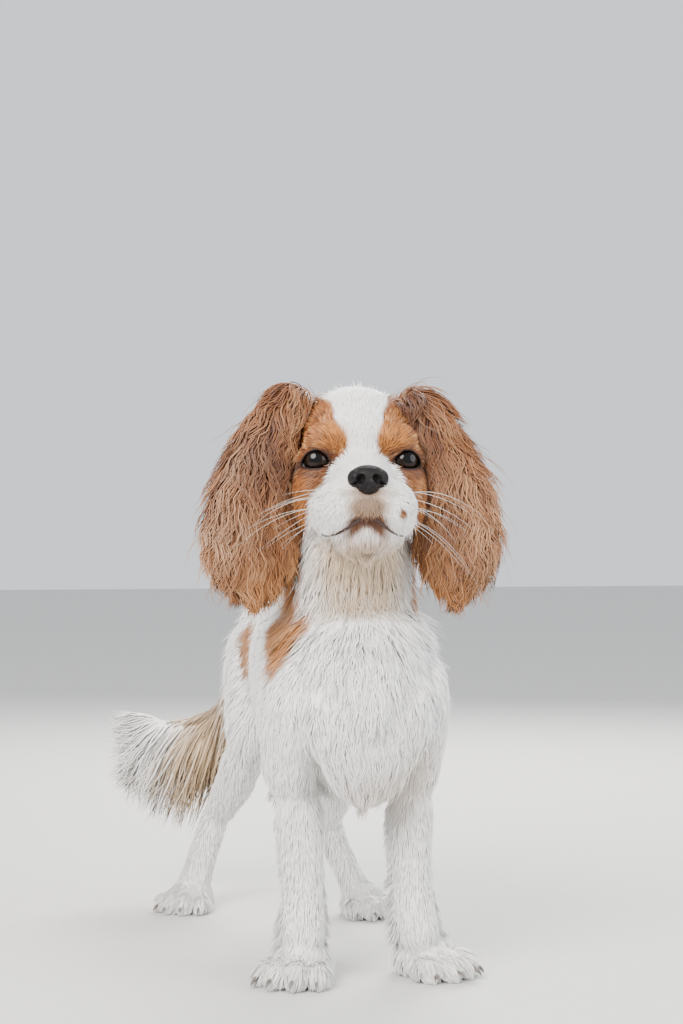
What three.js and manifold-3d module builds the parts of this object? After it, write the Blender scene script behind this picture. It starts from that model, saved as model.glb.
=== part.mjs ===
// A cavalier king charles spaniel at life size. It stands with its head raised and turned a little right.
// Millimetres, +Z up. It faces -Y and its left side is at +X. The solids fill the coat out to its tips.
import * as THREE from "three";
import { mergeVertices } from "three/addons/utils/BufferGeometryUtils.js";
import Module from "manifold-3d";

const wasm = await Module();
wasm.setup();

// Driving sizes. They are measured from the floor below the point midway between the shoulders.
const WITHERS = 312; // top of the coat over the shoulders
const RUMP = 292; // top of the coat over the croup
const BRISKET = 126; // underside of the chest, with its fringe
const CHEST_WIDTH = 138;
const LOIN_WIDTH = 112;
const BODY_FRONT = -84; // y of the breast
const BODY_BACK = 292; // y of the buttocks
const EYE_LEVEL = new THREE.Vector3(-5, -50, 374); // midway between the eyes
const HEAD_PITCH = -8; // degrees, nose up
const HEAD_YAW = -7; // degrees, nose towards the dog's right
const EYE_RADIUS = 10.5;
const EYE_APART = 62;
const COLLAR_HEIGHT = 12;
const COLLAR_THICK = 3;
const GAP = 0.35; // between neighbouring parts

const degrees = THREE.MathUtils.degToRad;
const SIDEWAYS = new THREE.Vector3(1, 0, 0);
const sides = { right: -1, left: 1 };

// Basic solids

// A closed geometry as a solid that can be joined and cut.
function solidOf(geometry) {
  const plain = geometry.clone();
  plain.deleteAttribute("normal");
  plain.deleteAttribute("uv");
  const merged = mergeVertices(plain, 1e-4);
  return new wasm.Manifold(
    new wasm.Mesh({
      numProp: 3,
      vertProperties: merged.attributes.position.array,
      triVerts: new Uint32Array(merged.index.array),
    }),
  );
}

// An egg-shaped geometry: its centre, its three radii, and an optional turn in degrees.
function egg([x, y, z], [rx, ry, rz], { grow = 0, turn = [0, 0, 0], around = 9, along = 6 } = {}) {
  const geometry = new THREE.SphereGeometry(1, around, along);
  geometry.rotateX(Math.PI / 2);
  geometry.scale(rx + grow, ry + grow, rz + grow);
  const angles = new THREE.Euler(...turn.map(degrees), "ZYX");
  geometry.applyMatrix4(new THREE.Matrix4().makeRotationFromEuler(angles));
  return geometry.translate(x, y, z);
}

// A closed body with an oval section, along a smooth line through its stations. A station is
// [x, y, z, half-width, half-depth], and the half-width is measured towards side.
function loft(stations, { grow = 0, side = SIDEWAYS, around = 9, along = 7, bluntness = 6 } = {}) {
  const line = new THREE.CatmullRomCurve3(stations.map(([x, y, z]) => new THREE.Vector3(x, y, z)));
  const sections = stations.map(([, , , wide, deep]) => new THREE.Vector3(wide, deep, 0));
  const sizes = new THREE.CatmullRomCurve3(sections);
  const geometry = new THREE.SphereGeometry(1, around, along);
  const points = geometry.attributes.position;
  for (let i = 0; i < points.count; i++) {
    const unit = new THREE.Vector3().fromBufferAttribute(points, i);
    const share = THREE.MathUtils.clamp((1 - unit.y) / 2, 0, 1);
    const size = sizes.getPoint(share);
    const tangent = line.getTangent(share);
    const across = side.clone().addScaledVector(tangent, -side.dot(tangent)).normalize();
    const through = tangent.clone().cross(across);
    const turned = Math.hypot(unit.x, unit.z);
    const fullness = turned < 1e-6 ? 0 : Math.sqrt(1 - Math.abs(unit.y) ** bluntness) / turned;
    const place = line
      .getPoint(share)
      .addScaledVector(across, unit.x * fullness * (size.x + grow))
      .addScaledVector(through, unit.z * fullness * (size.y + grow))
      .addScaledVector(tangent, -unit.y * grow);
    points.setXYZ(i, place.x, place.y, place.z);
  }
  return geometry;
}

// A box from its lowest to its highest corner.
function block(low, high, grow = 0) {
  const size = high.map((value, i) => value - low[i] + 2 * grow);
  const geometry = new THREE.BoxGeometry(...size);
  return geometry.translate(...high.map((value, i) => (value + low[i]) / 2));
}

const join = (geometries) => geometries.map(solidOf).reduce((whole, piece) => whole.add(piece));

// The head, in its own frame: the origin is midway between the eyes and the nose points to -Y.

const headPlace = new THREE.Matrix4().compose(
  EYE_LEVEL,
  new THREE.Quaternion().setFromEuler(new THREE.Euler(degrees(HEAD_PITCH), 0, degrees(HEAD_YAW), "ZYX")),
  new THREE.Vector3(1, 1, 1),
);
const onHead = (geometry) => geometry.applyMatrix4(headPlace);
const eyeAt = (side) => [side * (EYE_APART / 2), 3, 0];

function skullShapes(grow = 0) {
  const shapes = [
    egg([0, 38, 14], [47, 52, 45], { grow, around: 14, along: 9 }), // cranium
    egg([0, 62, -8], [42, 38, 44], { grow, around: 10, along: 7 }), // back of the skull
    egg([0, 16, -38], [33, 38, 25], { grow }), // throat
  ];
  for (const side of [-1, 1]) {
    shapes.push(egg([side * 24, -1, 15], [18, 13, 13], { grow, turn: [0, side * 12, 0] })); // brow
    shapes.push(egg([side * 33, 14, -19], [16, 26, 27], { grow })); // cheek
  }
  return shapes.map(onHead);
}

function muzzleShapes(grow = 0) {
  const bridge = [
    [0, 10, -10, 25, 24],
    [0, -14, -20, 23, 20],
    [0, -34, -27, 20, 17],
    [0, -49, -30, 15, 14],
  ];
  const shapes = [loft(bridge, { grow })];
  for (const side of [-1, 1]) {
    shapes.push(egg([side * 17, -29, -37], [19.5, 20, 18], { grow, turn: [0, side * -14, 0] })); // upper lip
    shapes.push(egg([side * 25, -14, -40], [12, 18, 13], { grow })); // corner of the lip
  }
  return shapes.map(onHead);
}

const jawShapes = (grow = 0) =>
  [egg([0, -24, -50], [22, 19, 14], { grow }), egg([0, -2, -47], [26, 24, 16], { grow })].map(onHead);

// The nose leather, with its two nostrils and the groove between them.
function nose(grow = 0) {
  const leather = join(
    [
      egg([0, -47, -20], [14.5, 8.5, 9.5], { grow }),
      egg([0, -46, -27], [8, 7.5, 7], { grow }),
    ].map(onHead),
  );
  if (grow) return leather;
  const hollows = [-1, 1].map((side) =>
    egg([side * 6.4, -55, -21.5], [3.1, 5, 2.9], { turn: [0, side * 25, side * 20], around: 6, along: 4 }),
  );
  hollows.push(egg([0, -56.2, -25], [0.9, 3, 9], { around: 4, along: 4 }));
  return leather.subtract(join(hollows.map(onHead)));
}

const eye = (side, grow = 0) =>
  solidOf(onHead(egg(eyeAt(side), [EYE_RADIUS, EYE_RADIUS, EYE_RADIUS], { grow, around: 12, along: 8 })));

// An ear with its long fringe. It is set high on the skull, swells outwards and hangs below the jaw.
// Each row is its height, its inner and outer edge from the middle of the head, and its half-thickness.
const EAR_ROWS = [
  [50, 18, 47, 9],
  [40, 26, 62, 15],
  [20, 37, 83, 20],
  [-4, 42, 96, 23],
  [-32, 44, 111, 26],
  [-66, 42, 118, 27],
  [-95, 42, 103, 23],
  [-118, 54, 82, 13],
];
const EAR_SPREAD = { right: 1, left: 0.89 }; // the left ear hangs closer to the head

function ear(name, grow = 0) {
  const side = sides[name];
  const face = new THREE.Vector3(1, side * -0.35, 0).normalize();
  const placed = EAR_ROWS.map(([height, inner, outer, thick], i) => {
    const edge = outer * EAR_SPREAD[name];
    const at = new THREE.Vector3((side * (inner + edge)) / 2, 32 - i * 2.5, height);
    at.applyAxisAngle(new THREE.Vector3(0, 0, 1), degrees(HEAD_YAW)).add(EYE_LEVEL);
    return [at.x, at.y, at.z, (edge - inner) / 2, thick];
  });
  return solidOf(loft(placed, { grow, side: face, around: 10, along: 11, bluntness: 4 }));
}

// The neck and trunk

const NECK = [
  [0, 28, 214, 50, 52],
  [-1, 8, 268, 49, 55],
  [-3, -8, 312, 44, 48],
  [-3, -14, 350, 38, 40],
];
const neckShape = (grow = 0) => loft(NECK, { grow, around: 12, along: 6 });

function trunkShapes(grow = 0) {
  const half = CHEST_WIDTH / 2;
  const barrel = [
    [0, BODY_FRONT, 204, 22, 30],
    [0, -46, 212, half - 12, 66],
    [0, 6, (WITHERS + BRISKET) / 2 - 5, half, (WITHERS - BRISKET) / 2 - 5],
    [0, 82, WITHERS - 92, half, 88],
    [0, 164, 224, LOIN_WIDTH / 2 + 1, 68],
    [0, 236, RUMP - 66, LOIN_WIDTH / 2 - 1, 66],
    [0, BODY_BACK, 220, 30, 40],
  ];
  const bib = [
    [2, -50, 244, 34, 24],
    [2, -58, 196, 46, 30],
    [3, -46, 150, 34, 28],
    [6, -34, 116, 12, 12],
  ];
  return [loft(barrel, { grow, around: 16, along: 13 }), loft(bib, { grow })];
}

// The collar, a strap that lies under the coat at the foot of the neck

const COLLAR_CENTRE = new THREE.Vector3(-1, 2, 294);
const COLLAR_RADII = [38, 43];
const COLLAR_TILT = 24; // degrees, lower at the throat

function ring(inner, outer, height) {
  const profile = [
    [inner, -height / 2],
    [outer, -height / 2],
    [outer, height / 2],
    [inner, height / 2],
    [inner, -height / 2],
  ].map(([r, h]) => new THREE.Vector2(r, h));
  const geometry = new THREE.LatheGeometry(profile, 20);
  geometry.rotateX(Math.PI / 2);
  geometry.scale(1, COLLAR_RADII[1] / COLLAR_RADII[0], 1);
  geometry.rotateX(degrees(COLLAR_TILT));
  return solidOf(geometry.translate(...COLLAR_CENTRE));
}

const collar = () => ring(COLLAR_RADII[0], COLLAR_RADII[0] + COLLAR_THICK, COLLAR_HEIGHT);
const collarGroove = () => ring(COLLAR_RADII[0] - GAP, 58, COLLAR_HEIGHT + 2 * GAP);

// The tail drops from the croup, sweeps to the right and lifts again at the tip. A long plume hangs from it.

const TAIL_ROOT = [
  [2, 262, 252, 20, 20],
  [-6, 300, 232, 20, 21],
  [-20, 330, 190, 17, 30],
  [-38, 344, 152, 15, 34],
];
const TAIL_PLUME = [
  [-30, 342, 144, 13, 40],
  [-58, 352, 124, 15, 47],
  [-88, 358, 128, 15, 43],
  [-116, 360, 142, 12, 27],
  [-134, 358, 152, 7, 12],
];
const tailRoot = (grow = 0) => solidOf(loft(TAIL_ROOT, { grow, along: 7 }));
const tailPlume = (grow = 0) =>
  solidOf(loft(TAIL_PLUME, { grow, side: new THREE.Vector3(0, 1, 0), bluntness: 4 }));

// The legs

const PAWS = {
  fore_right: { at: [-38, -2], turn: -32 },
  fore_left: { at: [54, 4], turn: 36 },
  hind_right: { at: [-76, 300], turn: -34 },
  hind_left: { at: [62, 246], turn: 16 },
};
const PAW_SCALE = { fore: 1.05, hind: 0.88 };
const TOE_SPREAD = 0.9; // degrees for each millimetre from the middle of the paw
const TOES = [
  { x: -18, y: -16, height: 10 },
  { x: -6.5, y: -25, height: 11.5 },
  { x: 6.5, y: -25, height: 11.5 },
  { x: 18, y: -16, height: 10 },
];

// A matrix that sets a paw, built at the origin and pointing to -Y, in its place under its leg.
function pawPlace(name) {
  const { at, turn } = PAWS[name];
  const scale = PAW_SCALE[name.split("_")[0]];
  return new THREE.Matrix4().compose(
    new THREE.Vector3(at[0], at[1], 0),
    new THREE.Quaternion().setFromAxisAngle(new THREE.Vector3(0, 0, 1), degrees(turn)),
    new THREE.Vector3(scale, scale, scale),
  );
}

function pawShapes(name, grow = 0) {
  const shapes = [egg([0, 0, 14], [21, 25, 21], { grow })];
  for (const { x, y, height } of TOES) {
    const spread = { turn: [0, 0, x * TOE_SPREAD], around: 6, along: 4 };
    shapes.push(egg([x, y, height - 1], [9, 14, height + 1], { grow, ...spread }));
  }
  return shapes.map((shape) => shape.applyMatrix4(pawPlace(name)));
}

// A claw stands just clear of the tip of its toe.
function claw(name, index) {
  const { x, y, height } = TOES[index];
  const spread = degrees(x * TOE_SPREAD);
  const geometry = new THREE.ConeGeometry(2.2, 8, 5, 1);
  geometry.rotateX(degrees(-125));
  geometry.translate(0, -18.2 - GAP, height - 3);
  geometry.rotateZ(spread);
  geometry.translate(x, y, 0);
  return solidOf(geometry.applyMatrix4(pawPlace(name)));
}

// Each foreleg has an upper arm, a forearm and a fringe behind it. The paw stands further out than the elbow
// by the foot's spread, so that the left leg straddles.
const FORE_SPREAD = { fore_right: 0, fore_left: 14 };

const foreLines = (side, foot) => [
  [
    [side * 46, -22, 232, 17, 30],
    [side * 48, -12, 198, 20, 42],
    [side * 46, 6, 162, 18, 36],
    [side * 42 + foot / 3, 6, 132, 17, 26],
  ],
  [
    [side * 41 + foot / 4, 4, 146, 16.5, 22],
    [side * 37 + foot / 3, 2, 108, 15.5, 20],
    [side * 36 + foot / 2, 1, 70, 14.5, 18],
    [side * 37 + foot * 0.7, 0, 40, 16, 19],
    [side * 38 + foot, -2, 20, 17, 20],
  ],
  [
    [side * 44 + foot / 4, 30, 150, 8, 12],
    [side * 41 + foot / 3, 34, 112, 11, 16],
    [side * 40 + foot / 2, 31, 74, 11, 17],
    [side * 38 + foot * 0.7, 22, 42, 9, 11],
  ],
];

// The hind legs differ: the right one stands back and out, and the left one is set forward.
const HIND = {
  hind_right: [
    [
      [-32, 232, 256, 24, 36],
      [-36, 226, 214, 28, 52],
      [-42, 218, 172, 24, 44],
      [-45, 212, 134, 18, 26],
    ],
    [
      [-45, 214, 152, 20, 26],
      [-45, 256, 118, 18, 23],
      [-47, 304, 92, 15, 19],
      [-50, 322, 80, 13, 14],
    ],
    [
      [-48, 322, 92, 14, 15],
      [-58, 316, 62, 14, 15],
      [-68, 308, 36, 15, 16],
      [-74, 302, 16, 17, 18],
    ],
    [
      [-40, 270, 190, 14, 22],
      [-42, 296, 152, 13, 24],
      [-45, 316, 112, 9, 15],
    ],
  ],
  hind_left: [
    [
      [32, 232, 256, 24, 36],
      [36, 220, 214, 28, 52],
      [42, 200, 172, 25, 43],
      [44, 182, 138, 19, 26],
    ],
    [
      [44, 184, 156, 20, 26],
      [42, 216, 122, 18, 23],
      [36, 250, 94, 15, 19],
      [33, 266, 82, 13, 14],
    ],
    [
      [33, 268, 94, 14, 15],
      [40, 262, 62, 13, 14],
      [51, 254, 36, 13, 14],
      [58, 249, 16, 14, 15],
    ],
    [
      [38, 258, 192, 14, 22],
      [38, 270, 154, 13, 24],
      [36, 272, 112, 9, 15],
    ],
  ],
};

function legShapes(name, grow = 0) {
  const side = sides[name.split("_")[1]];
  const lines = HIND[name] ?? foreLines(side, FORE_SPREAD[name]);
  return [...lines.map((stations) => loft(stations, { grow })), ...pawShapes(name, grow)];
}

// The boxes that part the legs, from the middle of the body outwards.
const LEG_CUTS = {
  fore: {
    paw: [
      [8, -100, -1],
      [120, 60, 38],
    ],
    lower: [
      [17, -60, 38],
      [120, 75, 128],
    ],
    upper: [
      [30, -66, 128],
      [120, 50, 238],
    ],
  },
  hind: {
    paw: [
      [20, 160, -1],
      [140, 340, 34],
    ],
    lower: [
      [4, 150, 34],
      [140, 360, 126],
    ],
    upper: [
      [12, 160, 126],
      [140, 360, 250],
    ],
  },
};

// The parts, cut so that neighbours meet with a thin gap.

const coat = (color) => new THREE.MeshStandardMaterial({ color, roughness: 0.75, metalness: 0 });
const MATERIALS = {
  white: coat(0xe9e4dc),
  chestnut: coat(0xa55a26),
  iris: new THREE.MeshStandardMaterial({ color: 0x1a0f0a, roughness: 0.08, metalness: 0 }),
  leather: new THREE.MeshStandardMaterial({ color: 0x241d1e, roughness: 0.4, metalness: 0 }),
  strap: new THREE.MeshStandardMaterial({ color: 0x2f1d12, roughness: 0.6, metalness: 0 }),
  horn: new THREE.MeshStandardMaterial({ color: 0x5b4a40, roughness: 0.35, metalness: 0 }),
};

const dog = new THREE.Group();

// Adds the largest piece of a solid to the dog as a named part. It drops the slivers that a cut leaves.
function add(name, material, solid) {
  const body = solid.decompose().reduce((most, piece) => (piece.volume() > most.volume() ? piece : most));
  const { vertProperties, triVerts, numProp } = body.getMesh();
  const positions = new Float32Array((vertProperties.length / numProp) * 3);
  for (let i = 0; i < positions.length / 3; i++) {
    positions.set(vertProperties.subarray(i * numProp, i * numProp + 3), i * 3);
  }
  const geometry = new THREE.BufferGeometry();
  geometry.setAttribute("position", new THREE.BufferAttribute(positions, 3));
  geometry.setIndex(new THREE.BufferAttribute(triVerts, 1));
  geometry.computeVertexNormals();
  const mesh = new THREE.Mesh(geometry, MATERIALS[material]);
  mesh.name = name;
  dog.add(mesh);
}

const legNames = Object.keys(PAWS);
const far = 500;

// The head. The muzzle is what lies before the stop, and the lower jaw fits up between its lips.
const sockets = Object.values(sides).map((side) => eye(side, GAP));
const fullHead = join([...skullShapes(), ...muzzleShapes()]);
const head = sockets.reduce((whole, hole) => whole.subtract(hole), fullHead);
const beforeStop = (grow) => solidOf(onHead(block([-far, -far, -far], [far, -11, 5], grow)));
const grownHead = join([...skullShapes(GAP), ...muzzleShapes(GAP)]);
add("skull", "chestnut", head.subtract(beforeStop(GAP)));
add("muzzle", "white", head.intersect(beforeStop(0)).subtract(nose(GAP)));
add("lower_jaw", "white", join(jawShapes()).subtract(grownHead));
add("nose", "leather", nose());
for (const [side, sign] of Object.entries(sides)) add(`eye_${side}`, "iris", eye(sign));

// The body is one solid. Flat cuts part it into the neck, the trunk and the three parts of each leg.
let body = join([...trunkShapes(), neckShape(), ...legNames.flatMap((name) => legShapes(name))]);
body = body.subtract(solidOf(block([-far, -far, -far], [far, far, 0])));
body = body.subtract(grownHead).subtract(join(jawShapes(GAP))).subtract(collarGroove());

function part(name, material, region) {
  add(name, material, body.intersect(region(0)));
  body = body.subtract(region(GAP));
}

for (const name of legNames) {
  const [end, side] = name.split("_");
  for (const [label, [low, high]] of Object.entries(LEG_CUTS[end])) {
    const [inner, outer] = [low[0] * sides[side], high[0] * sides[side]].sort((a, b) => a - b);
    const corners = [
      [inner, low[1], low[2]],
      [outer, high[1], high[2]],
    ];
    part(`${end}leg_${side}_${label}`, "white", (grow) => solidOf(block(...corners, grow)));
  }
  TOES.forEach((_, index) => add(`${end}leg_${side}_claw_${index + 1}`, "horn", claw(name, index)));
}
part("neck", "white", (grow) => {
  const above = block([-far, -far, -9], [far, far, far], grow).rotateX(degrees(COLLAR_TILT));
  return solidOf(above.translate(...COLLAR_CENTRE));
});
add("trunk", "white", body);
add("collar", "strap", collar());

// The tail and the ears lie against the body.
const grownLegs = legNames.flatMap((name) => legShapes(name, GAP));
const grownBody = join([...trunkShapes(GAP), neckShape(GAP), ...grownLegs]);
add("tail_root", "chestnut", tailRoot().subtract(grownBody));
add("tail_plume", "white", tailPlume().subtract(tailRoot(GAP)).subtract(grownBody));
for (const side of Object.keys(sides)) {
  add(`ear_${side}`, "chestnut", ear(side).subtract(grownHead).subtract(grownBody));
}

// The origin goes on the floor under the middle of the whole box.
const box = new THREE.Box3().setFromObject(dog);
const middle = box.getCenter(new THREE.Vector3());
dog.position.set(-middle.x, -middle.y, -box.min.z);

export default dog;
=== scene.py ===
"""A life-size cavalier king charles spaniel in a chestnut and white coat, standing on a pale studio floor.

The head is raised and turned a little to the dog's right, and the tail is swept to the same side. One skin covers
the whole dog, and tufts of fur stand on it. The eyes, nose leather, lips, claws, collar and whiskers are pieces of
their own. Sizes are millimetres from the floor below the shoulders, and the dog faces -Y with its left side at +X.
"""

import math

import bpy
import numpy as np
from mathutils import Euler, Matrix, Vector
from mathutils.bvhtree import BVHTree
from mathutils.kdtree import KDTree


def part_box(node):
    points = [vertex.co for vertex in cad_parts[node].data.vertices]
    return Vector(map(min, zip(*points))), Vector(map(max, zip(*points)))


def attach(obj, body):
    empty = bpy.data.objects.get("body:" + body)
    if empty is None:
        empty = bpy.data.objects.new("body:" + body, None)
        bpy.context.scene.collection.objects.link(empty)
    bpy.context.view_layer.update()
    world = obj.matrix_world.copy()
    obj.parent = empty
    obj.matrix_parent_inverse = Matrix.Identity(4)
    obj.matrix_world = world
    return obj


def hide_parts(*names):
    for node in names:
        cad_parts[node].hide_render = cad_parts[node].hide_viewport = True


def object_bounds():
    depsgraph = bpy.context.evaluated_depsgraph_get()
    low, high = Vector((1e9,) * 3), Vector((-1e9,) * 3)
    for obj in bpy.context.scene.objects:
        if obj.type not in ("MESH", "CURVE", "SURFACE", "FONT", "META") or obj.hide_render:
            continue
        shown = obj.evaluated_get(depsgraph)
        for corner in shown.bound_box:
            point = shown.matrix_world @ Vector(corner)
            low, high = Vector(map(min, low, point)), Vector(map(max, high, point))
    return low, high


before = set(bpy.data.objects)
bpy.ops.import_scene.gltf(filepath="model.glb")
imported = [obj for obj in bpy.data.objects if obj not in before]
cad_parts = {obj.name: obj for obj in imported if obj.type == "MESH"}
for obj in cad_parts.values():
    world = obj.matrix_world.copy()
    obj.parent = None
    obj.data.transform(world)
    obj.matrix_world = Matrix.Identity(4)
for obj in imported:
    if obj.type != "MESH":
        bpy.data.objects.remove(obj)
CAD_BOX = [list(corner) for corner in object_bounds()]

bl_info = {
    "name": "Cavalier spaniel",
    "version": (1, 0, 0),
    "blender": (4, 5, 0),
    "location": "3D View > Sidebar > Spaniel",
    "description": "Models a standing cavalier king charles spaniel with its full coat",
    "category": "Add Mesh",
}

# Places

MM = 0.001
EYE_LEVEL = Vector((-5, -50, 374))
EYE_BACK = Vector((0, 3, 0))
EYE_SIDE = 31
HEAD_YAW = math.radians(-7)
HEAD_PITCH = math.radians(-8)
RIGHT, LEFT = -1, 1
SIDES = {"right": RIGHT, "left": LEFT}


def box_middle(node):
    low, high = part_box(node)
    return (Vector(low) + Vector(high)) / 2


HEAD_TURN = Matrix.Rotation(HEAD_YAW, 4, "Z") @ Matrix.Rotation(HEAD_PITCH, 4, "X")
EYES_MIDDLE = (box_middle("eye_left") + box_middle("eye_right")) / 2
HOME = EYES_MIDDLE - (EYE_LEVEL + HEAD_TURN @ EYE_BACK) * MM

# These take millimetres to the frame: BODY from below the shoulders, HEAD from between the eyes along the turned
# head, and EARS from between the eyes along the level, turned head.
BODY = Matrix.Translation(HOME) @ Matrix.Scale(MM, 4)
HEAD = BODY @ Matrix.Translation(EYE_LEVEL) @ HEAD_TURN
EARS = BODY @ Matrix.Translation(EYE_LEVEL) @ Matrix.Rotation(HEAD_YAW, 4, "Z")

PAWS = {
    "fore_right": ((-38, -2), -32, 1.05),
    "fore_left": ((54, 4), 36, 1.05),
    "hind_right": ((-76, 300), -34, 0.88),
    "hind_left": ((62, 246), 16, 0.88),
}
TOES = [(-18, -16, 10), (-6.5, -25, 11.5), (6.5, -25, 11.5), (18, -16, 10)]
TOE_SPREAD = 0.9


def paw_place(name):
    """Millimetres of a paw that stands at the origin and points to -Y, to the frame."""
    (x, y), turn, scale = PAWS[name]
    return BODY @ Matrix.Translation((x, y, 0)) @ Matrix.Rotation(math.radians(turn), 4, "Z") @ Matrix.Scale(scale, 4)


def mapped(matrix, points):
    """Rows of points through a 4x4 matrix."""
    m = np.array(matrix)
    return np.asarray(points, float) @ m[:3, :3].T + m[:3, 3]


def unit(rows):
    rows = np.asarray(rows, float)
    return rows / np.maximum(np.linalg.norm(rows, axis=-1, keepdims=True), 1e-9)


# The body under the coat

SKULL_LUMPS = [
    ((0, 38, 14), (44, 49, 42)),
    ((0, 62, -8), (37, 32, 39)),
    ((0, 16, -38), (29, 34, 21)),
    ((0, 36, 22), (40, 40, 33)),
]
SKULL_PAIRS = [
    ((25, 38, 25), (21, 36, 22)),
    ((23, -1, 14), (16, 12, 12)),
    ((32, 14, -18), (14, 24, 24)),
    ((26, 2, -13), (13, 12, 9)),
    ((16.5, -29, -37), (17.5, 18, 17.5)),
    ((24, -14, -41), (10.5, 16, 13.5)),
    ((18, -25, -43.5), (14.5, 15.5, 13)),
    ((10, -40, -31), (10, 9.5, 10)),
]
BRIDGE = [
    (0, 10, -10, 22, 22),
    (0, -14, -19, 20, 18),
    (0, -34, -25.5, 17.5, 15),
    (0, -46, -28, 13, 12),
]
JAW_LUMPS = [((0, -41, -37.5), (9, 9, 9.5)), ((0, -19, -51.5), (22, 17, 12)), ((0, -2, -46), (23, 22, 14.5))]
NECK = [
    (0, 28, 214, 40, 42),
    (-1, 8, 268, 38, 43),
    (-3, -8, 312, 35, 38),
    (-3, -14, 350, 33, 35),
]
BARREL = [
    (0, -70, 206, 16, 24),
    (0, -42, 211, 44, 54),
    (0, 6, 213, 56, 75),
    (0, 82, 218, 57, 76),
    (0, 164, 225, 47, 58),
    (0, 236, 228, 46, 53),
    (0, 280, 222, 24, 32),
]
BREAST = [
    (1, -40, 246, 32, 16),
    (2, -44, 200, 46, 20),
    (3, -34, 160, 30, 18),
    (4, -22, 138, 14, 10),
]
TAIL = [
    (2, 262, 250, 11, 11),
    (-6, 298, 232, 9, 9),
    (-20, 328, 194, 8, 8),
    (-40, 346, 162, 7, 7),
    (-75, 355, 149, 6, 6),
    (-108, 360, 156, 4.5, 4.5),
    (-118, 360, 160, 3, 3),
]
EAR_ROWS = [
    (51, 25, 50, 8),
    (43, 26, 61, 11),
    (28, 32, 70, 10),
    (10, 40, 81, 9),
    (-8, 45, 91, 9),
    (-34, 46, 101, 9.5),
    (-62, 46, 103, 9.5),
    (-86, 52, 94, 7),
]
EAR_SPREAD = {"right": 1, "left": 0.89}
FORE_SPREAD = {"right": 0, "left": 14}


def fore_lines(name):
    """The upper arm and forearm of a foreleg, as limb stations."""
    side, foot = SIDES[name], FORE_SPREAD[name]
    return [
        [
            (side * 46, -22, 236, 14, 24),
            (side * 48, -12, 198, 17, 34),
            (side * 46, 0, 162, 17, 32),
            (side * 42 + foot / 3, 2, 132, 14.5, 24),
        ],
        [
            (side * 41.5 + foot / 4, 2, 148, 15.5, 23),
            (side * 38.5 + foot / 3, 1, 108, 14, 17.5),
            (side * 37 + foot / 2, 0, 70, 12.5, 14.5),
            (side * 37 + foot * 0.7, -1, 40, 14, 16),
            (side * 38 + foot, -2, 20, 15.5, 18),
        ],
    ]


HIND_LINES = {
    "right": [
        [(-30, 232, 252, 17, 26), (-33, 226, 214, 21, 41), (-38, 216, 172, 18, 34), (-43, 210, 136, 13, 19)],
        [(-43, 212, 150, 14, 19), (-44, 254, 118, 13, 16), (-47, 302, 92, 10.5, 13), (-50, 318, 80, 9.5, 11)],
        [(-48, 318, 90, 10, 11), (-58, 314, 62, 10, 11), (-68, 307, 36, 11, 12), (-74, 302, 16, 13, 14)],
    ],
    "left": [
        [(30, 232, 252, 17, 26), (33, 220, 214, 21, 41), (38, 200, 172, 18, 34), (42, 182, 140, 13, 19)],
        [(42, 184, 152, 14, 19), (41, 216, 122, 13, 16), (36, 248, 94, 10.5, 13), (34, 264, 82, 9.5, 11)],
        [(33, 266, 92, 10, 11), (40, 261, 62, 9.5, 10), (51, 254, 36, 9.5, 10), (58, 249, 16, 11, 12)],
    ],
}

# Mesh helpers


def select_only(*pieces):
    bpy.ops.object.select_all(action="DESELECT")
    for piece in pieces:
        piece.select_set(True)
    bpy.context.view_layer.objects.active = pieces[0]


def rows_of(items, field):
    """A field with three numbers for each vertex or polygon, as rows."""
    values = np.empty(len(items) * 3)
    items.foreach_get(field, values)
    return values.reshape(-1, 3)


def store(mesh, name, kind, values):
    """Keeps a value for each vertex as an attribute that the materials read."""
    field = {"FLOAT": "value", "FLOAT_VECTOR": "vector", "FLOAT_COLOR": "color"}[kind]
    layer = mesh.attributes.new(name, kind, "POINT")
    layer.data.foreach_set(field, values.astype(np.float32).ravel())


def apply_place(piece):
    select_only(piece)
    bpy.ops.object.transform_apply(location=True, rotation=True, scale=True)


def face_outwards(piece):
    """Puts a piece's place into its mesh and turns all its faces outwards."""
    apply_place(piece)
    bpy.ops.object.mode_set(mode="EDIT")
    bpy.ops.mesh.select_all(action="SELECT")
    bpy.ops.mesh.normals_make_consistent(inside=False)
    bpy.ops.object.mode_set(mode="OBJECT")


def modify(piece, kind, **settings):
    """Gives a piece a modifier with the named settings and applies it."""
    select_only(piece)
    modifier = piece.modifiers.new(kind.title(), kind)
    for name, value in settings.items():
        setattr(modifier, name, value)
    bpy.ops.object.modifier_apply(modifier=modifier.name)


def lump(matrix, centre, radii, turn=(0, 0, 0), segments=28, rings=18):
    """An egg-shaped mass at a place given in millimetres."""
    bpy.ops.object.select_all(action="DESELECT")
    bpy.ops.mesh.primitive_uv_sphere_add(segments=segments, ring_count=rings, radius=1)
    piece = bpy.context.object
    turned = Euler([math.radians(angle) for angle in turn], "XYZ").to_matrix().to_4x4()
    piece.matrix_world = matrix @ Matrix.Translation(centre) @ turned @ Matrix.Diagonal((*radii, 1))
    return piece


def along_line(stations, share):
    """Stations as a smooth line, read at shares from 0 to 1."""
    rows = np.asarray(stations, float)
    padded = np.vstack([2 * rows[0] - rows[1], rows, 2 * rows[-1] - rows[-2]])
    place = np.clip(share, 0, 1) * (len(rows) - 1)
    step = np.minimum(place.astype(int), len(rows) - 2)
    t = (place - step)[:, None]
    a, b, c, d = (padded[step + i] for i in range(4))
    return 0.5 * (2 * b + (c - a) * t + (2 * a - 5 * b + 4 * c - d) * t**2 + (3 * b - a - 3 * c + d) * t**3)


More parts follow.
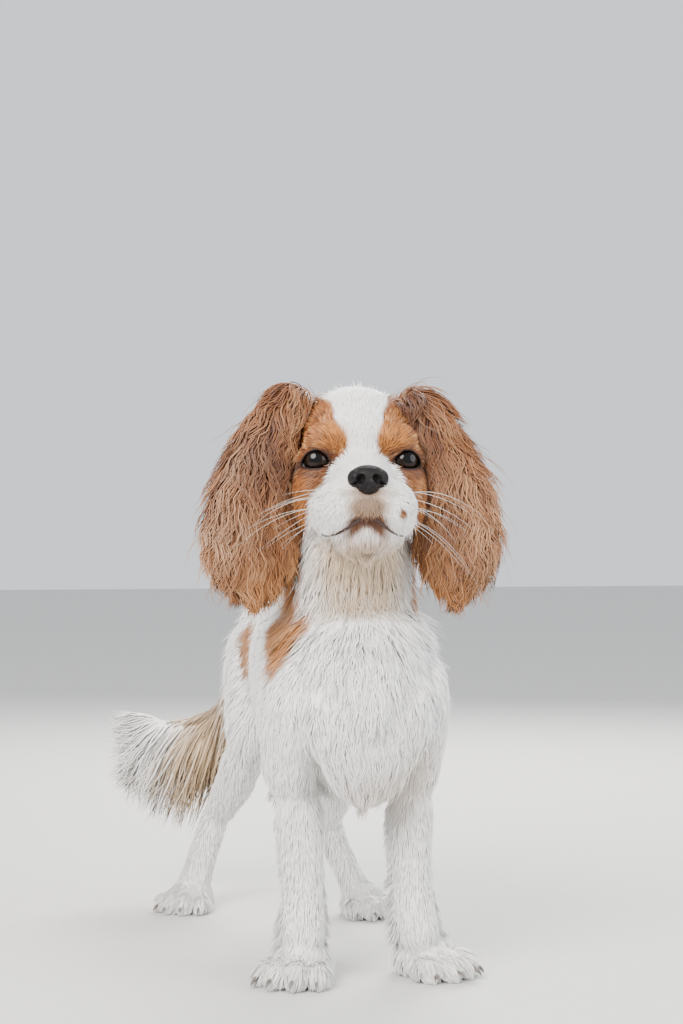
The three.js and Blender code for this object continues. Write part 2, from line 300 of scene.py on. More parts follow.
def limb(matrix, stations, side=(1, 0, 0), segments=28, rings=30, bluntness=6):
    """A closed body with an oval section along stations of x, y, z, half-width and half-depth."""
    piece = lump(Matrix.Identity(4), (0, 0, 0), (1, 1, 1), segments=segments, rings=rings)
    ball = rows_of(piece.data.vertices, "co")
    share = (1 - ball[:, 2]) / 2
    rows = along_line(stations, share)
    tangent = unit(along_line(stations, share + 0.01)[:, :3] - along_line(stations, share - 0.01)[:, :3])
    across = np.broadcast_to(np.asarray(side, float), tangent.shape)
    across = unit(across - (across * tangent).sum(1, keepdims=True) * tangent)
    through = np.cross(tangent, across)
    turned = np.hypot(ball[:, 0], ball[:, 1])
    full = np.sqrt(1 - np.abs(ball[:, 2]) ** bluntness) / np.maximum(turned, 1e-6)
    full[turned < 1e-5] = 0
    place = rows[:, :3] + across * (ball[:, 0] * full * rows[:, 3])[:, None]
    place += through * (ball[:, 1] * full * rows[:, 4])[:, None]
    piece.data.vertices.foreach_set("co", place.ravel())
    piece.matrix_world = matrix
    return piece


def fuse(pieces, name, voxel, smoothing):
    """Joins closed pieces into one closed skin with soft hollows where they meet."""
    select_only(*pieces)
    bpy.ops.object.join()
    piece = bpy.context.object
    piece.name = name
    face_outwards(piece)
    modify(piece, "REMESH", mode="VOXEL", voxel_size=voxel * MM)
    modify(piece, "SMOOTH", factor=0.5, iterations=smoothing)
    bpy.ops.object.shade_smooth()
    return piece


def cut(piece, cutter):
    """Cuts a closed cutter out of a piece."""
    modify(piece, "BOOLEAN", operation="DIFFERENCE", solver="EXACT", object=cutter)
    bpy.data.objects.remove(cutter)


def finish_piece(piece, name, material, slot, *nodes):
    """Names a piece, gives it its finish and puts it in the frame for the CAD nodes it stands for."""
    apply_place(piece)
    piece.name = piece.data.name = name
    piece.data.materials.clear()
    piece.data.materials.append(material)
    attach(piece, "root")
    if nodes:
        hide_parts(*nodes)
    return piece


# Markings. Each is worked out from the place alone, so that the skin and the coat agree.


def step_between(value, low, high):
    t = np.clip((value - low) / (high - low), 0, 1)
    return t * t * (3 - 2 * t)


def wander(points, size, seed):
    """A smooth uneven value from -1 to 1 that changes over about size millimetres."""
    rng = np.random.default_rng(seed)
    total = np.zeros(len(points))
    for _ in range(7):
        wave = rng.normal(size=3)
        total += np.sin(points @ (wave / np.linalg.norm(wave)) / size * rng.uniform(1.6, 4) + rng.uniform(0, 6.28))
    return total / 3.2


HEAD_BACK, BODY_BACK, EARS_BACK = (np.linalg.inv(np.array(matrix)) for matrix in (HEAD, BODY, EARS))

# Half-widths of the white on the face, and the middle of the blaze, by height from the eyes.
WHITE_HEIGHTS = [-70, -58, -50, -40, -26, -12, 2, 12, 24, 42, 60]
WHITE_WIDTHS = [44, 40, 36, 37, 34, 24, 11.5, 11, 15.5, 20, 17]
BLAZE_HEIGHTS = [-20, 0, 20, 50]
BLAZE_MIDDLES = [0, -0.5, -0.5, 0]

# Centres and radii of the body's chestnut patches.
PATCHES = [
    ((-60, -12, 262), (32, 38, 31)),
    ((-62, 162, 232), (30, 46, 31)),
    ((20, 150, 300), (52, 74, 44)),
    ((62, 96, 176), (36, 70, 54)),
    ((0, 276, 270), (50, 36, 30)),
    ((0, 40, 330), (46, 34, 40)),
]

# Dark fur round each eye: a centre across and up the face, radii, the shares at which it fades, and its strength.
EYE_SHADES = [
    ((EYE_SIDE - 1, -3), (15, 10.5), (0.8, 1.25), 0.65),
    ((17, -9), (5.5, 9), (0.6, 1.3), 0.85),
    ((29, -22), (9, 12), (0.5, 1.3), 0.45),
]


def most(*shares):
    """The strongest of several shares at each point."""
    return np.max(shares, axis=0)


def reach_from(points, centre, radii):
    """Distance from a centre, as a share of the radii."""
    return np.linalg.norm((points - np.asarray(centre)) / np.asarray(radii), axis=1)


def blob(points, centre, radii, edge):
    """1 inside an egg-shaped patch and 0 outside, with a soft edge."""
    return 1 - step_between(reach_from(points, centre, radii), 1 - edge, 1 + edge)


def ear_markings(points):
    """The four shares on the ears, which are chestnut all over."""
    level = mapped(EARS_BACK, points)
    height = level[:, 2]
    outer = step_between(np.abs(level[:, 0]), 52, 100)
    shade = 0.35 * (1 - outer) * step_between(height, -90, 10)
    dark = 0.30 * step_between(wander(level, 18, 4), 0.2, 1.0) + shade
    tan = 0.9 * outer * step_between(height, -105, -20) + 0.12
    orange = 0.75 * step_between(-height, 10, 90)
    return np.stack([np.ones(len(points)), dark, tan, orange], 1)


def markings(points):
    """Chestnut, dark, tan and pink shares from 0 to 1 at points in the frame. On chestnut, pink means orange."""
    head, body = mapped(HEAD_BACK, points), mapped(BODY_BACK, points)
    x, y, z = head.T
    bx, by, bz = body.T
    across = np.abs(x)
    folded = np.stack([across, y, z], 1)
    on_head = step_between(z + 0.2 * y, -78, -60) * step_between(bz, 285, 300)

    # The white blaze and throat, and the chestnut beside them
    half = np.interp(z, WHITE_HEIGHTS, WHITE_WIDTHS) + 1.6 * wander(head, 9, 2)
    over = step_between(y, 34, 62)
    half = half * (1 - over) + (14 - 14 * step_between(y, 60, 84)) * over
    middle = np.interp(z, BLAZE_HEIGHTS, BLAZE_MIDDLES)
    blaze = 1 - step_between(np.abs(x - middle), half - 1.6, half + 1.6)
    throat = step_between(-z, 50, 60) * step_between(40 - y, 0, 12)
    head_chestnut = 1 - most(blaze, throat)

    # The patches of the body and the sides of the neck
    reach = np.min([reach_from(body, *patch) for patch in PATCHES], axis=0)
    patches = 1 - step_between(reach + 0.16 * wander(body, 16, 7), 0.84, 1.10)
    side_neck = step_between(np.abs(bx + 3), 26, 34) * step_between(bz, 268, 286) * step_between(by, -26, -12)
    body_chestnut = most(patches, side_neck)
    chestnut = head_chestnut * on_head + body_chestnut * (1 - on_head)

    # Dark fur round the eyes, the spots on the left lip, and the middle of the mouth, which is dark fur with painted
    # shade
    shades = [
        strength * (1 - step_between(reach_from(folded[:, [0, 2]], centre, radii), *fade))
        for centre, radii, fade, strength in EYE_SHADES
    ]
    dark = most(*shades) * step_between(-y, -20, -6) * head_chestnut * on_head
    spot = blob(head, (22.5, -40, -42), (3.0, 12, 3.6), 0.35)
    specks = most(blob(head, (28, -34, -40), (1.0, 9, 1.2), 0.4), blob(head, (26, -40, -35), (0.8, 8, 1.0), 0.4))
    # The middle of the mouth: dark brown fur, and painted shade of the mouth's groove.
    mouth_dark_and_shade = (1 - step_between(line_distance(MOUTH, head), 4.5, 9)) * (1 - step_between(across, 9, 18)) * on_head
    dark = most(dark, 0.25 * spot, specks, 0.8 * mouth_dark_and_shade)

    # The bright brows and cheeks, the stain below the nose, the pink chin, and the cream of the throat and tail
    brow = blob(folded, (19, -8, 14), (11, 18, 8), 0.6)
    cheek = blob(folded, (33, -6, -30), (10, 22, 20), 0.6)
    stain = most(blob(head, (0, -49, -39), (12.5, 12, 9), 0.5), 0.9 * blob(head, (0, -46, -30), (14, 7, 4), 0.6))
    chin = blob(head, (0, -36, -58), (24, 20, 8), 0.5) * on_head
    orange = body_chestnut * (1 - on_head) * step_between(-bx, 0, 30)
    neck = (1 - step_between(np.abs(bz - 306), 20, 44)) * step_between(-by, 20, 42)
    pink = most(most(brow, 0.3 * cheek) * (1 - 0.6 * dark), 0.5 * chin, orange)
    tan = most(
        0.85 * neck * (1 - on_head * step_between(z - 0.25 * y, -54, -46)),
        0.9 * stain,
        0.95 * blob(body, (-30, 340, 150), (36, 60, 66), 0.45),
        0.35 * blob(body, (20, -40, 150), (40, 40, 34), 0.6),
        0.6 * orange,
    )
    chestnut = most(chestnut, spot * on_head, specks * on_head, mouth_dark_and_shade, 0.75 * stain)
    chestnut = np.where((chin > 0.3) & (mouth_dark_and_shade < 0.2), chestnut * 0.2, chestnut)
    return np.clip(np.stack([chestnut, most(dark, 0.75 * stain), tan, pink], 1), 0, 1)


def all_markings(points):
    """The markings of the head and body, which pass into the ears' at their roots."""
    share = 1 - step_between(ear_reach(points) / MM, 2, 7)[:, None]
    return markings(points) * (1 - share) + ear_markings(points) * share


# Materials


class Socket:
    """A node's output, so that shader sums read as sums."""

    def __init__(self, shader, link):
        self.shader, self.link = shader, link

    def math(self, operation, other, swapped=False):
        pair = [other, self] if swapped else [self, other]
        return self.shader.node("ShaderNodeMath", {"operation": operation}, dict(enumerate(pair)))

    def __add__(self, other):
        return self.math("ADD", other)

    def __sub__(self, other):
        return self.math("SUBTRACT", other)

    def __rsub__(self, other):
        return self.math("SUBTRACT", other, True)

    def __mul__(self, other):
        return self.math("MULTIPLY", other)

    __radd__, __rmul__ = __add__, __mul__


class Shader:
    """A material's node tree, built one node at a time."""

    def __init__(self, name):
        self.material = bpy.data.materials.new(name)
        self.material.use_nodes = True
        self.tree = self.material.node_tree
        self.tree.nodes.clear()

    def node(self, kind, settings=None, values=None, output=0):
        made = self.tree.nodes.new(kind)
        for name, value in (settings or {}).items():
            setattr(made, name, value)
        for name, value in (values or {}).items():
            if isinstance(value, Socket):
                self.tree.links.new(value.link, made.inputs[name])
            else:
                made.inputs[name].default_value = value
        return Socket(self, made.outputs[output])

    def attribute(self, name, output=0):
        return self.node("ShaderNodeAttribute", {"attribute_name": name}, output=output)

    def split(self, kind, value):
        """The three parts of a colour or a vector."""
        made = self.node(kind, {}, {0: value}).link.node
        return [Socket(self, made.outputs[i]) for i in range(3)]

    def color(self, value):
        """A colour from a socket, three numbers or a name in the palette."""
        if isinstance(value, str):
            value = getattr(bpy.context.scene.spaniel_colors, value)
        return value if isinstance(value, Socket) else (*value, 1)

    def mix(self, share, first, second):
        """A colour between two colours."""
        values = {0: share, 6: self.color(first), 7: self.color(second)}
        return self.node("ShaderNodeMix", {"data_type": "RGBA"}, values, output=2)

    def place(self):
        return self.node("ShaderNodeTexCoord", output=3)

    def ramp(self, value, low, high):
        """0 below low and 1 above high, with a soft step between."""
        values = {0: value, 1: low, 2: high}
        return self.node("ShaderNodeMapRange", {"interpolation_type": "SMOOTHSTEP"}, values)

    def noise(self, scale, detail=3, roughness=0.5):
        values = {"Vector": self.place(), "Scale": scale, "Detail": detail, "Roughness": roughness}
        return self.node("ShaderNodeTexNoise", {}, values)

    def bump(self, height, strength, distance):
        return self.node("ShaderNodeBump", {}, {"Height": height, "Strength": strength, "Distance": distance})

    def finish(self, **values):
        """Ends in a Principled shader with the given socket values."""
        named = {name.replace("_", " ").title().replace("Ior", "IOR"): value for name, value in values.items()}
        surface = self.node("ShaderNodeBsdfPrincipled", {}, named)
        output = self.tree.nodes.new("ShaderNodeOutputMaterial")
        self.tree.links.new(surface.link, output.inputs["Surface"])
        return self.material


def coat_material(name, sheen=0.15):
    """Fur in the dog's colours. Its markings and strand places are attributes of the mesh."""
    shader = Shader(name)
    marks = shader.attribute("marks")
    chestnut, dark, tan = shader.split("ShaderNodeSeparateColor", marks)
    pink = Socket(shader, marks.link.node.outputs["Alpha"])
    along, chance, lock = shader.split("ShaderNodeSeparateXYZ", shader.attribute("strand", 1))
    uneven = shader.noise(45, 2)
    white = shader.mix(shader.ramp(along * 0.7 + chance * 0.5, 0.1, 1.0), "white_root", "white_tip")
    white = shader.mix(tan * shader.ramp(uneven + chance * 0.4, 0.1, 0.6), white, "cream")
    white = shader.mix(pink * 0.75, white, "pink")
    # Painted light along each strand: the darker chestnut near the root is painted shade in the coat's depth, and the
    # chestnut highlight at the tip is a painted highlight, varied per tuft and lock. Glow also brings in the orange
    # and tan.
    glow = along * 0.4 + chance * 0.45 + lock * 0.6
    red = shader.mix(shader.ramp(glow, 0.15, 0.85), "chestnut_deep", "chestnut")
    red = shader.mix(shader.ramp(glow, 0.8, 1.35), red, "chestnut_tip")
    red = shader.mix(pink * shader.ramp(glow, 0.1, 0.9), red, "orange")
    red = shader.mix(tan * shader.ramp(glow, 0.35, 1.1), red, "tan")
    red = shader.mix(dark, red, "dark")
    return shader.finish(
        base_color=shader.mix(chestnut, white, red),
        roughness=shader.node("ShaderNodeMapRange", {}, {0: chance, 3: 0.42, 4: 0.62}),
        specular_ior_level=0.35,
        sheen_weight=sheen,
        sheen_roughness=0.4,
        normal=shader.bump(shader.noise(900, 2), 0.25, 0.0004),
    )


def skin_material():
    """Skin in the coat's colours, with short flat fur as bump and bare dark skin round the eyes and mouth."""
    shader = Shader("skin")
    chestnut, dark, tan = shader.split("ShaderNodeSeparateColor", shader.attribute("marks"))
    bare = shader.attribute("bare", 2)
    uneven = shader.noise(140, 3)
    white = shader.mix(uneven, "white_root", "white_tip")
    white = shader.mix(tan * 0.6, white, "cream")
    # On the skin the darker chestnut is mixed in at random, as a darker tone.
    red = shader.mix(uneven, "chestnut_deep", "chestnut")
    red = shader.mix(dark, red, "dark")
    fur = shader.mix(chestnut, white, red)
    height = shader.noise(700, 3) + uneven * 0.5
    return shader.finish(
        base_color=shader.mix(bare, fur, "lips"),
        roughness=0.7 - bare * 0.1,
        specular_ior_level=0.2,
        normal=shader.bump(height, 0.5, 0.0006),
    )


def eye_material():
    """A dark brown eye: pupil, flecked iris, dark limbus and a rim of white. Its gaze is the mesh's own attribute."""
    shader = Shader("eye")
    reach = shader.attribute("gaze", 2)
    iris = shader.mix(shader.noise(900, 4, 0.7), (0.006, 0.003, 0.0015), "iris")
    inner = shader.mix(shader.ramp(reach, 0.34, 0.42), (0.002, 0.002, 0.002), iris)
    ringed = shader.mix(shader.ramp(reach, 0.62, 0.74), inner, (0.006, 0.004, 0.003))
    white = shader.mix(shader.noise(500, 4, 0.7), (0.62, 0.50, 0.46), (0.80, 0.76, 0.74))
    base = shader.mix(shader.ramp(reach, 0.88, 0.93), ringed, white)
    return shader.finish(base_color=base, roughness=0.03, specular_ior_level=0.22)


def nose_material():
    """Moist black leather, finely pebbled and greyer where it is dry."""
    shader = Shader("nose leather")
    values = {"Vector": shader.place(), "Scale": 1150, "Randomness": 0.9}
    pebble = shader.node("ShaderNodeTexVoronoi", {"feature": "DISTANCE_TO_EDGE"}, values)
    # Raised is 1 on the pebbles and 0 in the creases between them. The creases are painted darker, as painted shade.
    raised = shader.ramp(pebble, 0.0, 0.22)
    dry = shader.ramp(shader.noise(160, 3), 0.42, 0.7)
    base = shader.mix(dry * 0.6, "nose", "nose_dry")
    return shader.finish(
        base_color=shader.mix(raised, (0.008, 0.007, 0.007), base),
        roughness=0.36 + dry * 0.2,
        specular_ior_level=0.15,
        coat_weight=0.05,
        coat_roughness=0.25,
        normal=shader.bump(raised, 0.6, 0.0004),
    )


def plain_material(name, first, second, scale, roughness, bump=0.3, distance=0.0003, coat=0.0):
    """A finish that wanders between two colours, with a fine grain."""
    shader = Shader(name)
    grain = shader.noise(scale, 4, 0.6)
    return shader.finish(
        base_color=shader.mix(grain, first, second),
        roughness=roughness + grain * 0.12,
        coat_weight=coat,
        normal=shader.bump(grain, bump, distance),
    )


# Properties


def length(name, description, default):
    return bpy.props.FloatProperty(name=name, description=description, default=default, unit="LENGTH")


def tint(name, description, default):
    return bpy.props.FloatVectorProperty(
        name=name, description=description, default=default, subtype="COLOR", min=0, max=1, size=3
    )


class SpanielColors(bpy.types.PropertyGroup):
    """The colours of the coat, eyes, nose and collar."""

    white_root: tint("White root", "White fur near the skin", (0.80, 0.76, 0.71))
    white_tip: tint("White tip", "White fur at its tips", (0.93, 0.92, 0.90))
    cream: tint("Cream", "Stained or creamy white fur", (0.56, 0.38, 0.21))
    pink: tint("Pink", "Thin fur over pink skin at the chin", (0.66, 0.46, 0.40))
    orange: tint("Orange", "Bright fur of the brows and patches", (0.46, 0.17, 0.032))
    # Painted shade in the depth of the chestnut coat; on the skin, a darker chestnut mixed in at random.
    chestnut_deep: tint("Deep chestnut", "Chestnut fur in its depth", (0.075, 0.023, 0.008))
    chestnut: tint("Chestnut", "Chestnut fur", (0.28, 0.092, 0.021))
    # A painted highlight on the sunlit tips of chestnut fur.
    chestnut_tip: tint("Chestnut tip", "Sunlit tips of chestnut fur", (0.60, 0.30, 0.12))
    tan: tint("Tan", "Paler tan fur", (0.50, 0.29, 0.165))
    # Dark brown fur. It also paints shade in the middle of the mouth and on the inner, upper part of the ears.
    dark: tint("Dark", "Dark brown fur round the eyes", (0.060, 0.022, 0.012))
    lips: tint("Lips", "Bare skin of the lids and lips", (0.018, 0.011, 0.010))
    nose: tint("Nose", "Moist nose leather", (0.006, 0.005, 0.0055))
    nose_dry: tint("Dry nose", "Nose leather where it is dry", (0.028, 0.022, 0.022))
    iris: tint("Iris", "Brown of the iris", (0.012, 0.005, 0.0025))
    strap: tint("Strap", "Collar leather", (0.060, 0.032, 0.020))
    claw: tint("Claw", "Horn of the claws", (0.26, 0.22, 0.19))


class SpanielSizes(bpy.types.PropertyGroup):
    """Sizes that change how finely the dog is modelled and how its coat lies."""

    voxel: length("Skin detail", "Size of the skin's facets", 0.0025)
    eye_radius: length("Eye", "Radius of the eyeball", 0.0105)
    lid_width: length("Eye opening width", "Width between the corners of the lids", 0.0200)
    lid_height: length("Eye opening height", "Height between the lids", 0.0130)
    whisker: length("Whisker", "Length of the longest whisker", 0.062)
    coat_scale: bpy.props.FloatProperty(name="Coat length", description="Scales all fur", default=1.0, min=0.2, max=2)


class SpanielStage(bpy.types.PropertyGroup):
    """The camera, light and floor."""

    lens: bpy.props.FloatProperty(name="Lens", description="Focal length for a 36 mm high picture", default=74.88)
    camera_height: length("Camera height", "Height of the camera over the floor", 0.33)
    camera_distance: length("Camera distance", "Distance from the camera to the forelegs", 1.545)
    key_power: bpy.props.FloatProperty(name="Key light", description="Power of the main light", default=92, subtype="POWER")
    sky: bpy.props.FloatProperty(name="Sky", description="Strength of the light from all round", default=1.12)


# Pieces

LIGHTS = [  # name, place, width in metres, share of the key light's power, colour
    ("key", (-1100, -1300, 1500), 1.3, 1, (1.0, 0.97, 0.93)),
    ("fill", (1500, -1000, 900), 1.6, 0.34, (0.93, 0.96, 1.0)),
    ("rim", (500, 1500, 1300), 1.2, 0.7, (1.0, 0.97, 0.94)),
]
VIEW = Vector((0.208, 0.978, 0))  # the way the camera looks, 12 degrees to the dog's left of straight back
VIEW_SHIFT = 0.008
CAMERA_TILT = math.radians(90.3)
CAMERA_TURN = math.radians(-12)


class StageOperator(bpy.types.Operator):
    """Sets up the pale floor, the soft lights and the camera"""

    bl_idname = "spaniel.stage"
    bl_label = "Stage"

    def execute(self, context):
        stage = context.scene.spaniel_stage
        bpy.ops.object.select_all(action="DESELECT")
        bpy.ops.mesh.primitive_plane_add(size=14, location=(0, 2, 0))
        floor = context.object
        floor.name = "floor"
        shader = Shader("studio floor")
        grain = shader.noise(60, 3)
        base = shader.mix(grain, (0.60, 0.59, 0.57), (0.64, 0.63, 0.61))
        floor.data.materials.append(shader.finish(base_color=base, roughness=0.8))

        aim = BODY @ Vector((0, 60, 230))
        for name, place, size, share, color in LIGHTS:
            bpy.ops.object.light_add(type="AREA", location=BODY @ Vector(place))
            light = context.object
            light.name = name
            light.data.shape = "DISK"
            light.data.size = size
            light.data.energy = stage.key_power * share
            light.data.color = color
            light.rotation_euler = (aim - light.location).to_track_quat("-Z", "Y").to_euler()

        world = bpy.data.worlds.new("studio")
        context.scene.world = world
        world.use_nodes = True
        background = world.node_tree.nodes["Background"]
        background.inputs["Color"].default_value = (0.92, 0.95, 1.0, 1)
        background.inputs["Strength"].default_value = stage.sky

        shift = Vector((-VIEW.y, VIEW.x, 0)) * VIEW_SHIFT
        place = HOME + shift - VIEW * stage.camera_distance + Vector((0, 0, stage.camera_height))
        bpy.ops.object.camera_add(location=place)
        camera = context.object
        camera.name = "camera"
        camera.rotation_euler = (CAMERA_TILT, 0, CAMERA_TURN)
        camera.data.sensor_fit = "VERTICAL"
        camera.data.sensor_height = 36
        camera.data.lens = stage.lens
        context.scene.camera = camera
        return {"FINISHED"}


def gaze_turn(side):
    """The head's axes turned to an eye's own gaze."""
    return Matrix.Rotation(math.radians(side * 9), 4, "Z") @ Matrix.Rotation(math.radians(-4), 4, "X")


def eye_frame(side):
    return HEAD @ Matrix.Translation((side * EYE_SIDE, *EYE_BACK[1:])) @ gaze_turn(side)


# Each lid's opening is an almond: LID_RISE above the ball's middle there, LID_DROOP lower at its corners, and
# narrowed towards them by LID_PINCH. The lids themselves lie on a ball of LID_BALL millimetres.
LID_RISE = -1.2
LID_DROOP = 1.6
LID_PINCH = 0.28
LID_BALL = 12.3
ALMOND_SIDES = 40


def almond(matrix, wide, high, front, back):
    """A closed prism with a lid-shaped section, its long axis along Y, in millimetres."""
    mesh = bpy.data.meshes.new("almond")
    rim = []
    for i in range(ALMOND_SIDES):
        angle = 2 * math.pi * i / ALMOND_SIDES
        x = math.cos(angle)
        z = math.sin(angle) * (1 - LID_PINCH * abs(x) ** 3)
        rim.append((x * wide / 2, z * high / 2 + LID_RISE - LID_DROOP * x * x))
    verts = [(x, y, z) for y in (front, back) for x, z in rim]
    first, second = list(range(ALMOND_SIDES)), list(range(ALMOND_SIDES, 2 * ALMOND_SIDES))
    faces = list(zip(first, first[1:] + first[:1], second[1:] + second[:1], second))
    mesh.from_pydata(verts, [], faces + [first[::-1], second])
    piece = bpy.data.objects.new("almond", mesh)
    bpy.context.collection.objects.link(piece)
    piece.matrix_world = matrix
    face_outwards(piece)
    return piece


def almond_reach(head_points, sizes):
    """How far points of the head lie from the nearer eye's opening: 1 at its edge."""
    wide, high = sizes.lid_width / MM / 2, sizes.lid_height / MM / 2
    reach = np.full(len(head_points), 9.0)
    for side in (RIGHT, LEFT):
        place = Matrix.Translation((side * EYE_SIDE, *EYE_BACK[1:])) @ gaze_turn(side)
        x, y, z = mapped(np.linalg.inv(np.array(place)), head_points).T
        x = np.abs(x / wide)
        z = z - LID_RISE + LID_DROOP * x**2
        here = np.hypot(x, z / (high * (1 - LID_PINCH * np.minimum(x, 1) ** 3)))
        here[y > 2] = 9
        reach = np.minimum(reach, here)
    return reach


# The line of the closed mouth, from the middle outwards on the left side, along the turned head.
MOUTH = [(0, -41, -45), (7, -40.5, -48), (14, -38, -53), (21, -31, -56), (27, -22, -56), (31, -10, -52)]
PHILTRUM = [(0, -51.5, -30), (0, -49.5, -37), (0, -44.5, -43.5)]


def line_distance(stations, head_points):
    """Distance in millimetres from points of the head, folded to one side, to a line."""
    folded = head_points.copy()
    folded[:, 0] = np.abs(folded[:, 0])
    nearest = np.full(len(folded), 1e9)
    for spot in along_line(stations, np.linspace(0, 1, 40)):
        nearest = np.minimum(nearest, np.linalg.norm(folded - spot, axis=1))
    return nearest


class SkinOperator(bpy.types.Operator):
    """Models one skin over the whole dog"""

    bl_idname = "spaniel.skin"
    bl_label = "Skin"

    def execute(self, context):
        sizes = context.scene.spaniel_sizes
        ears = [self.ear(name) for name in SIDES]
        for ear in ears:
            core = ear.data.copy()
            core.name = f"{ear.name}_core"
            core.use_fake_user = True
        skin = fuse(self.head() + ears + self.body(), "skin", sizes.voxel / MM, 3)
        self.refine_face(skin)
        self.shape_face(skin)
        self.open_eyes(skin, sizes)
        points = rows_of(skin.data.vertices, "co")
        store(skin.data, "marks", "FLOAT_COLOR", all_markings(points))
        local = mapped(HEAD_BACK, points)
        bare = 1 - step_between(almond_reach(local, sizes), 1.10, 1.24)
        bare = np.maximum(bare, 1 - step_between(line_distance(MOUTH, local), 0.8, 1.8))
        bare = np.maximum(bare, 1 - step_between(points[:, 2], 0.0018, 0.0035))
        store(skin.data, "bare", "FLOAT", bare)
        kept = ("nose", "collar", "eye_left", "eye_right")
        flesh = [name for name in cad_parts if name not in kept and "_claw_" not in name]
        finish_piece(skin, "skin", skin_material(), "coat_white", *flesh)
        return {"FINISHED"}

    def head(self):
        pieces = [lump(HEAD, *row) for row in SKULL_LUMPS + JAW_LUMPS]
        pieces.append(limb(HEAD, BRIDGE))
        for side in (RIGHT, LEFT):
            for (x, y, z), radii in SKULL_PAIRS:
                pieces.append(lump(HEAD, (side * x, y, z), radii))
            pieces.append(lump(eye_frame(side), (0, 0, 0), (12.6, 12.6, 12.6)))
        return pieces

    def ear(self, name):
        side = SIDES[name]
        rows = []
        for i, (height, inner, outer, thick) in enumerate(EAR_ROWS):
            edge = outer * EAR_SPREAD[name]
            rows.append((side * (inner + edge) / 2, 31 - i * 2.2, height, (edge - inner) / 2, thick))
        ear = limb(EARS, rows, side=(1, side * -0.35, 0), segments=36, rings=40, bluntness=4)
        ear.name = f"leather_{name}"
        face_outwards(ear)
        bpy.ops.object.shade_smooth()
        return ear

    def body(self):
        pieces = [limb(BODY, line) for line in (NECK, BARREL, BREAST, TAIL)]
        for name in SIDES:
            for line in fore_lines(name) + HIND_LINES[name]:
                pieces.append(limb(BODY, line))
        for name in PAWS:
            place = paw_place(name)
            pieces.append(lump(place, (0, 0, 13), (18.5, 22, 17)))
            for x, y, height in TOES:
                pieces.append(lump(place, (x, y, height - 1.5), (7.4, 12, height - 1), (0, 0, x * TOE_SPREAD)))
        return pieces

    def refine_face(self, skin):
        """Gives the face facets half the size of the body's."""
        polygons = skin.data.polygons
        x, y, z = mapped(HEAD_BACK, rows_of(polygons, "center")).T
        select_only(skin)
        bpy.ops.object.mode_set(mode="EDIT")
        bpy.ops.mesh.select_mode(type="FACE")
        bpy.ops.mesh.select_all(action="DESELECT")
        bpy.ops.object.mode_set(mode="OBJECT")
        polygons.foreach_set("select", (y < 16) & (z > -72) & (z < 30) & (np.abs(x) < 46))
        bpy.ops.object.mode_set(mode="EDIT")
        bpy.ops.mesh.subdivide(number_cuts=1)
        bpy.ops.mesh.vertices_smooth(factor=0.5, repeat=3)
        bpy.ops.object.mode_set(mode="OBJECT")

    def shape_face(self, skin):
        """Presses in the mouth and the groove below the nose, rounds the lids and flattens the soles."""
        points, _, normals = skin_arrays(skin.data)
        local = mapped(HEAD_BACK, points)
        front = local[:, 1] < 0
        for stations, wide, deep in [(MOUTH, 3.2, 2.2), (PHILTRUM, 1.8, 0.9)]:
            share = np.clip(1 - line_distance(stations, local) / wide, 0, 1) * front
            points = points - normals * (share**1.5 * deep * MM)[:, None]
        for side in (RIGHT, LEFT):
            place = np.array(eye_frame(side))
            near = mapped(np.linalg.inv(place), points)
            reach = np.linalg.norm(near, axis=1)
            lid = (reach < LID_BALL) & (near[:, 1] < 3)
            points[lid] = mapped(place, near[lid] * (LID_BALL / reach[lid])[:, None])
        points[:, 2] = np.maximum(points[:, 2], 0.0006)
        skin.data.vertices.foreach_set("co", points.ravel())
        skin.data.update()

    def open_eyes(self, skin, sizes):
        radius = sizes.eye_radius / MM + 0.15
        wide, high = sizes.lid_width / MM, sizes.lid_height / MM
        places = [eye_frame(side) for side in (RIGHT, LEFT)]
        balls = [lump(place, (0, 0, 0), (radius,) * 3, segments=48, rings=32) for place in places]
        slots = [almond(place, wide, high, -30, 0) for place in places]
        for pair in (balls, slots):
            select_only(*pair)
            bpy.ops.object.join()
            cut(skin, bpy.context.object)
        select_only(skin)
        bpy.ops.object.shade_smooth_by_angle(angle=math.radians(50))


class EyesOperator(bpy.types.Operator):
    """Models the two eyes with their corneas"""

    bl_idname = "spaniel.eyes"
    bl_label = "Eyes"

    def execute(self, context):
        sizes = context.scene.spaniel_sizes
        material = eye_material()
        radius = sizes.eye_radius / MM
        for name, side in SIDES.items():
            eye = lump(eye_frame(side), (0, 0, 0), (radius,) * 3, (90, 0, 0), segments=64, rings=48)
            apply_place(eye)
            local = mapped(eye_frame(side).inverted(), rows_of(eye.data.vertices, "co"))
            reach = np.hypot(local[:, 0], local[:, 2]) / radius
            reach[local[:, 1] > 0] = 2
            bulge = 1 + 0.055 * (1 - step_between(reach, 0.45, 0.85))
            eye.data.vertices.foreach_set("co", mapped(eye_frame(side), local * bulge[:, None]).ravel())
            store(eye.data, "gaze", "FLOAT", reach)
            bpy.ops.object.shade_smooth()
            finish_piece(eye, f"eyeball_{name}", material, "eye", f"eye_{name}")
        return {"FINISHED"}


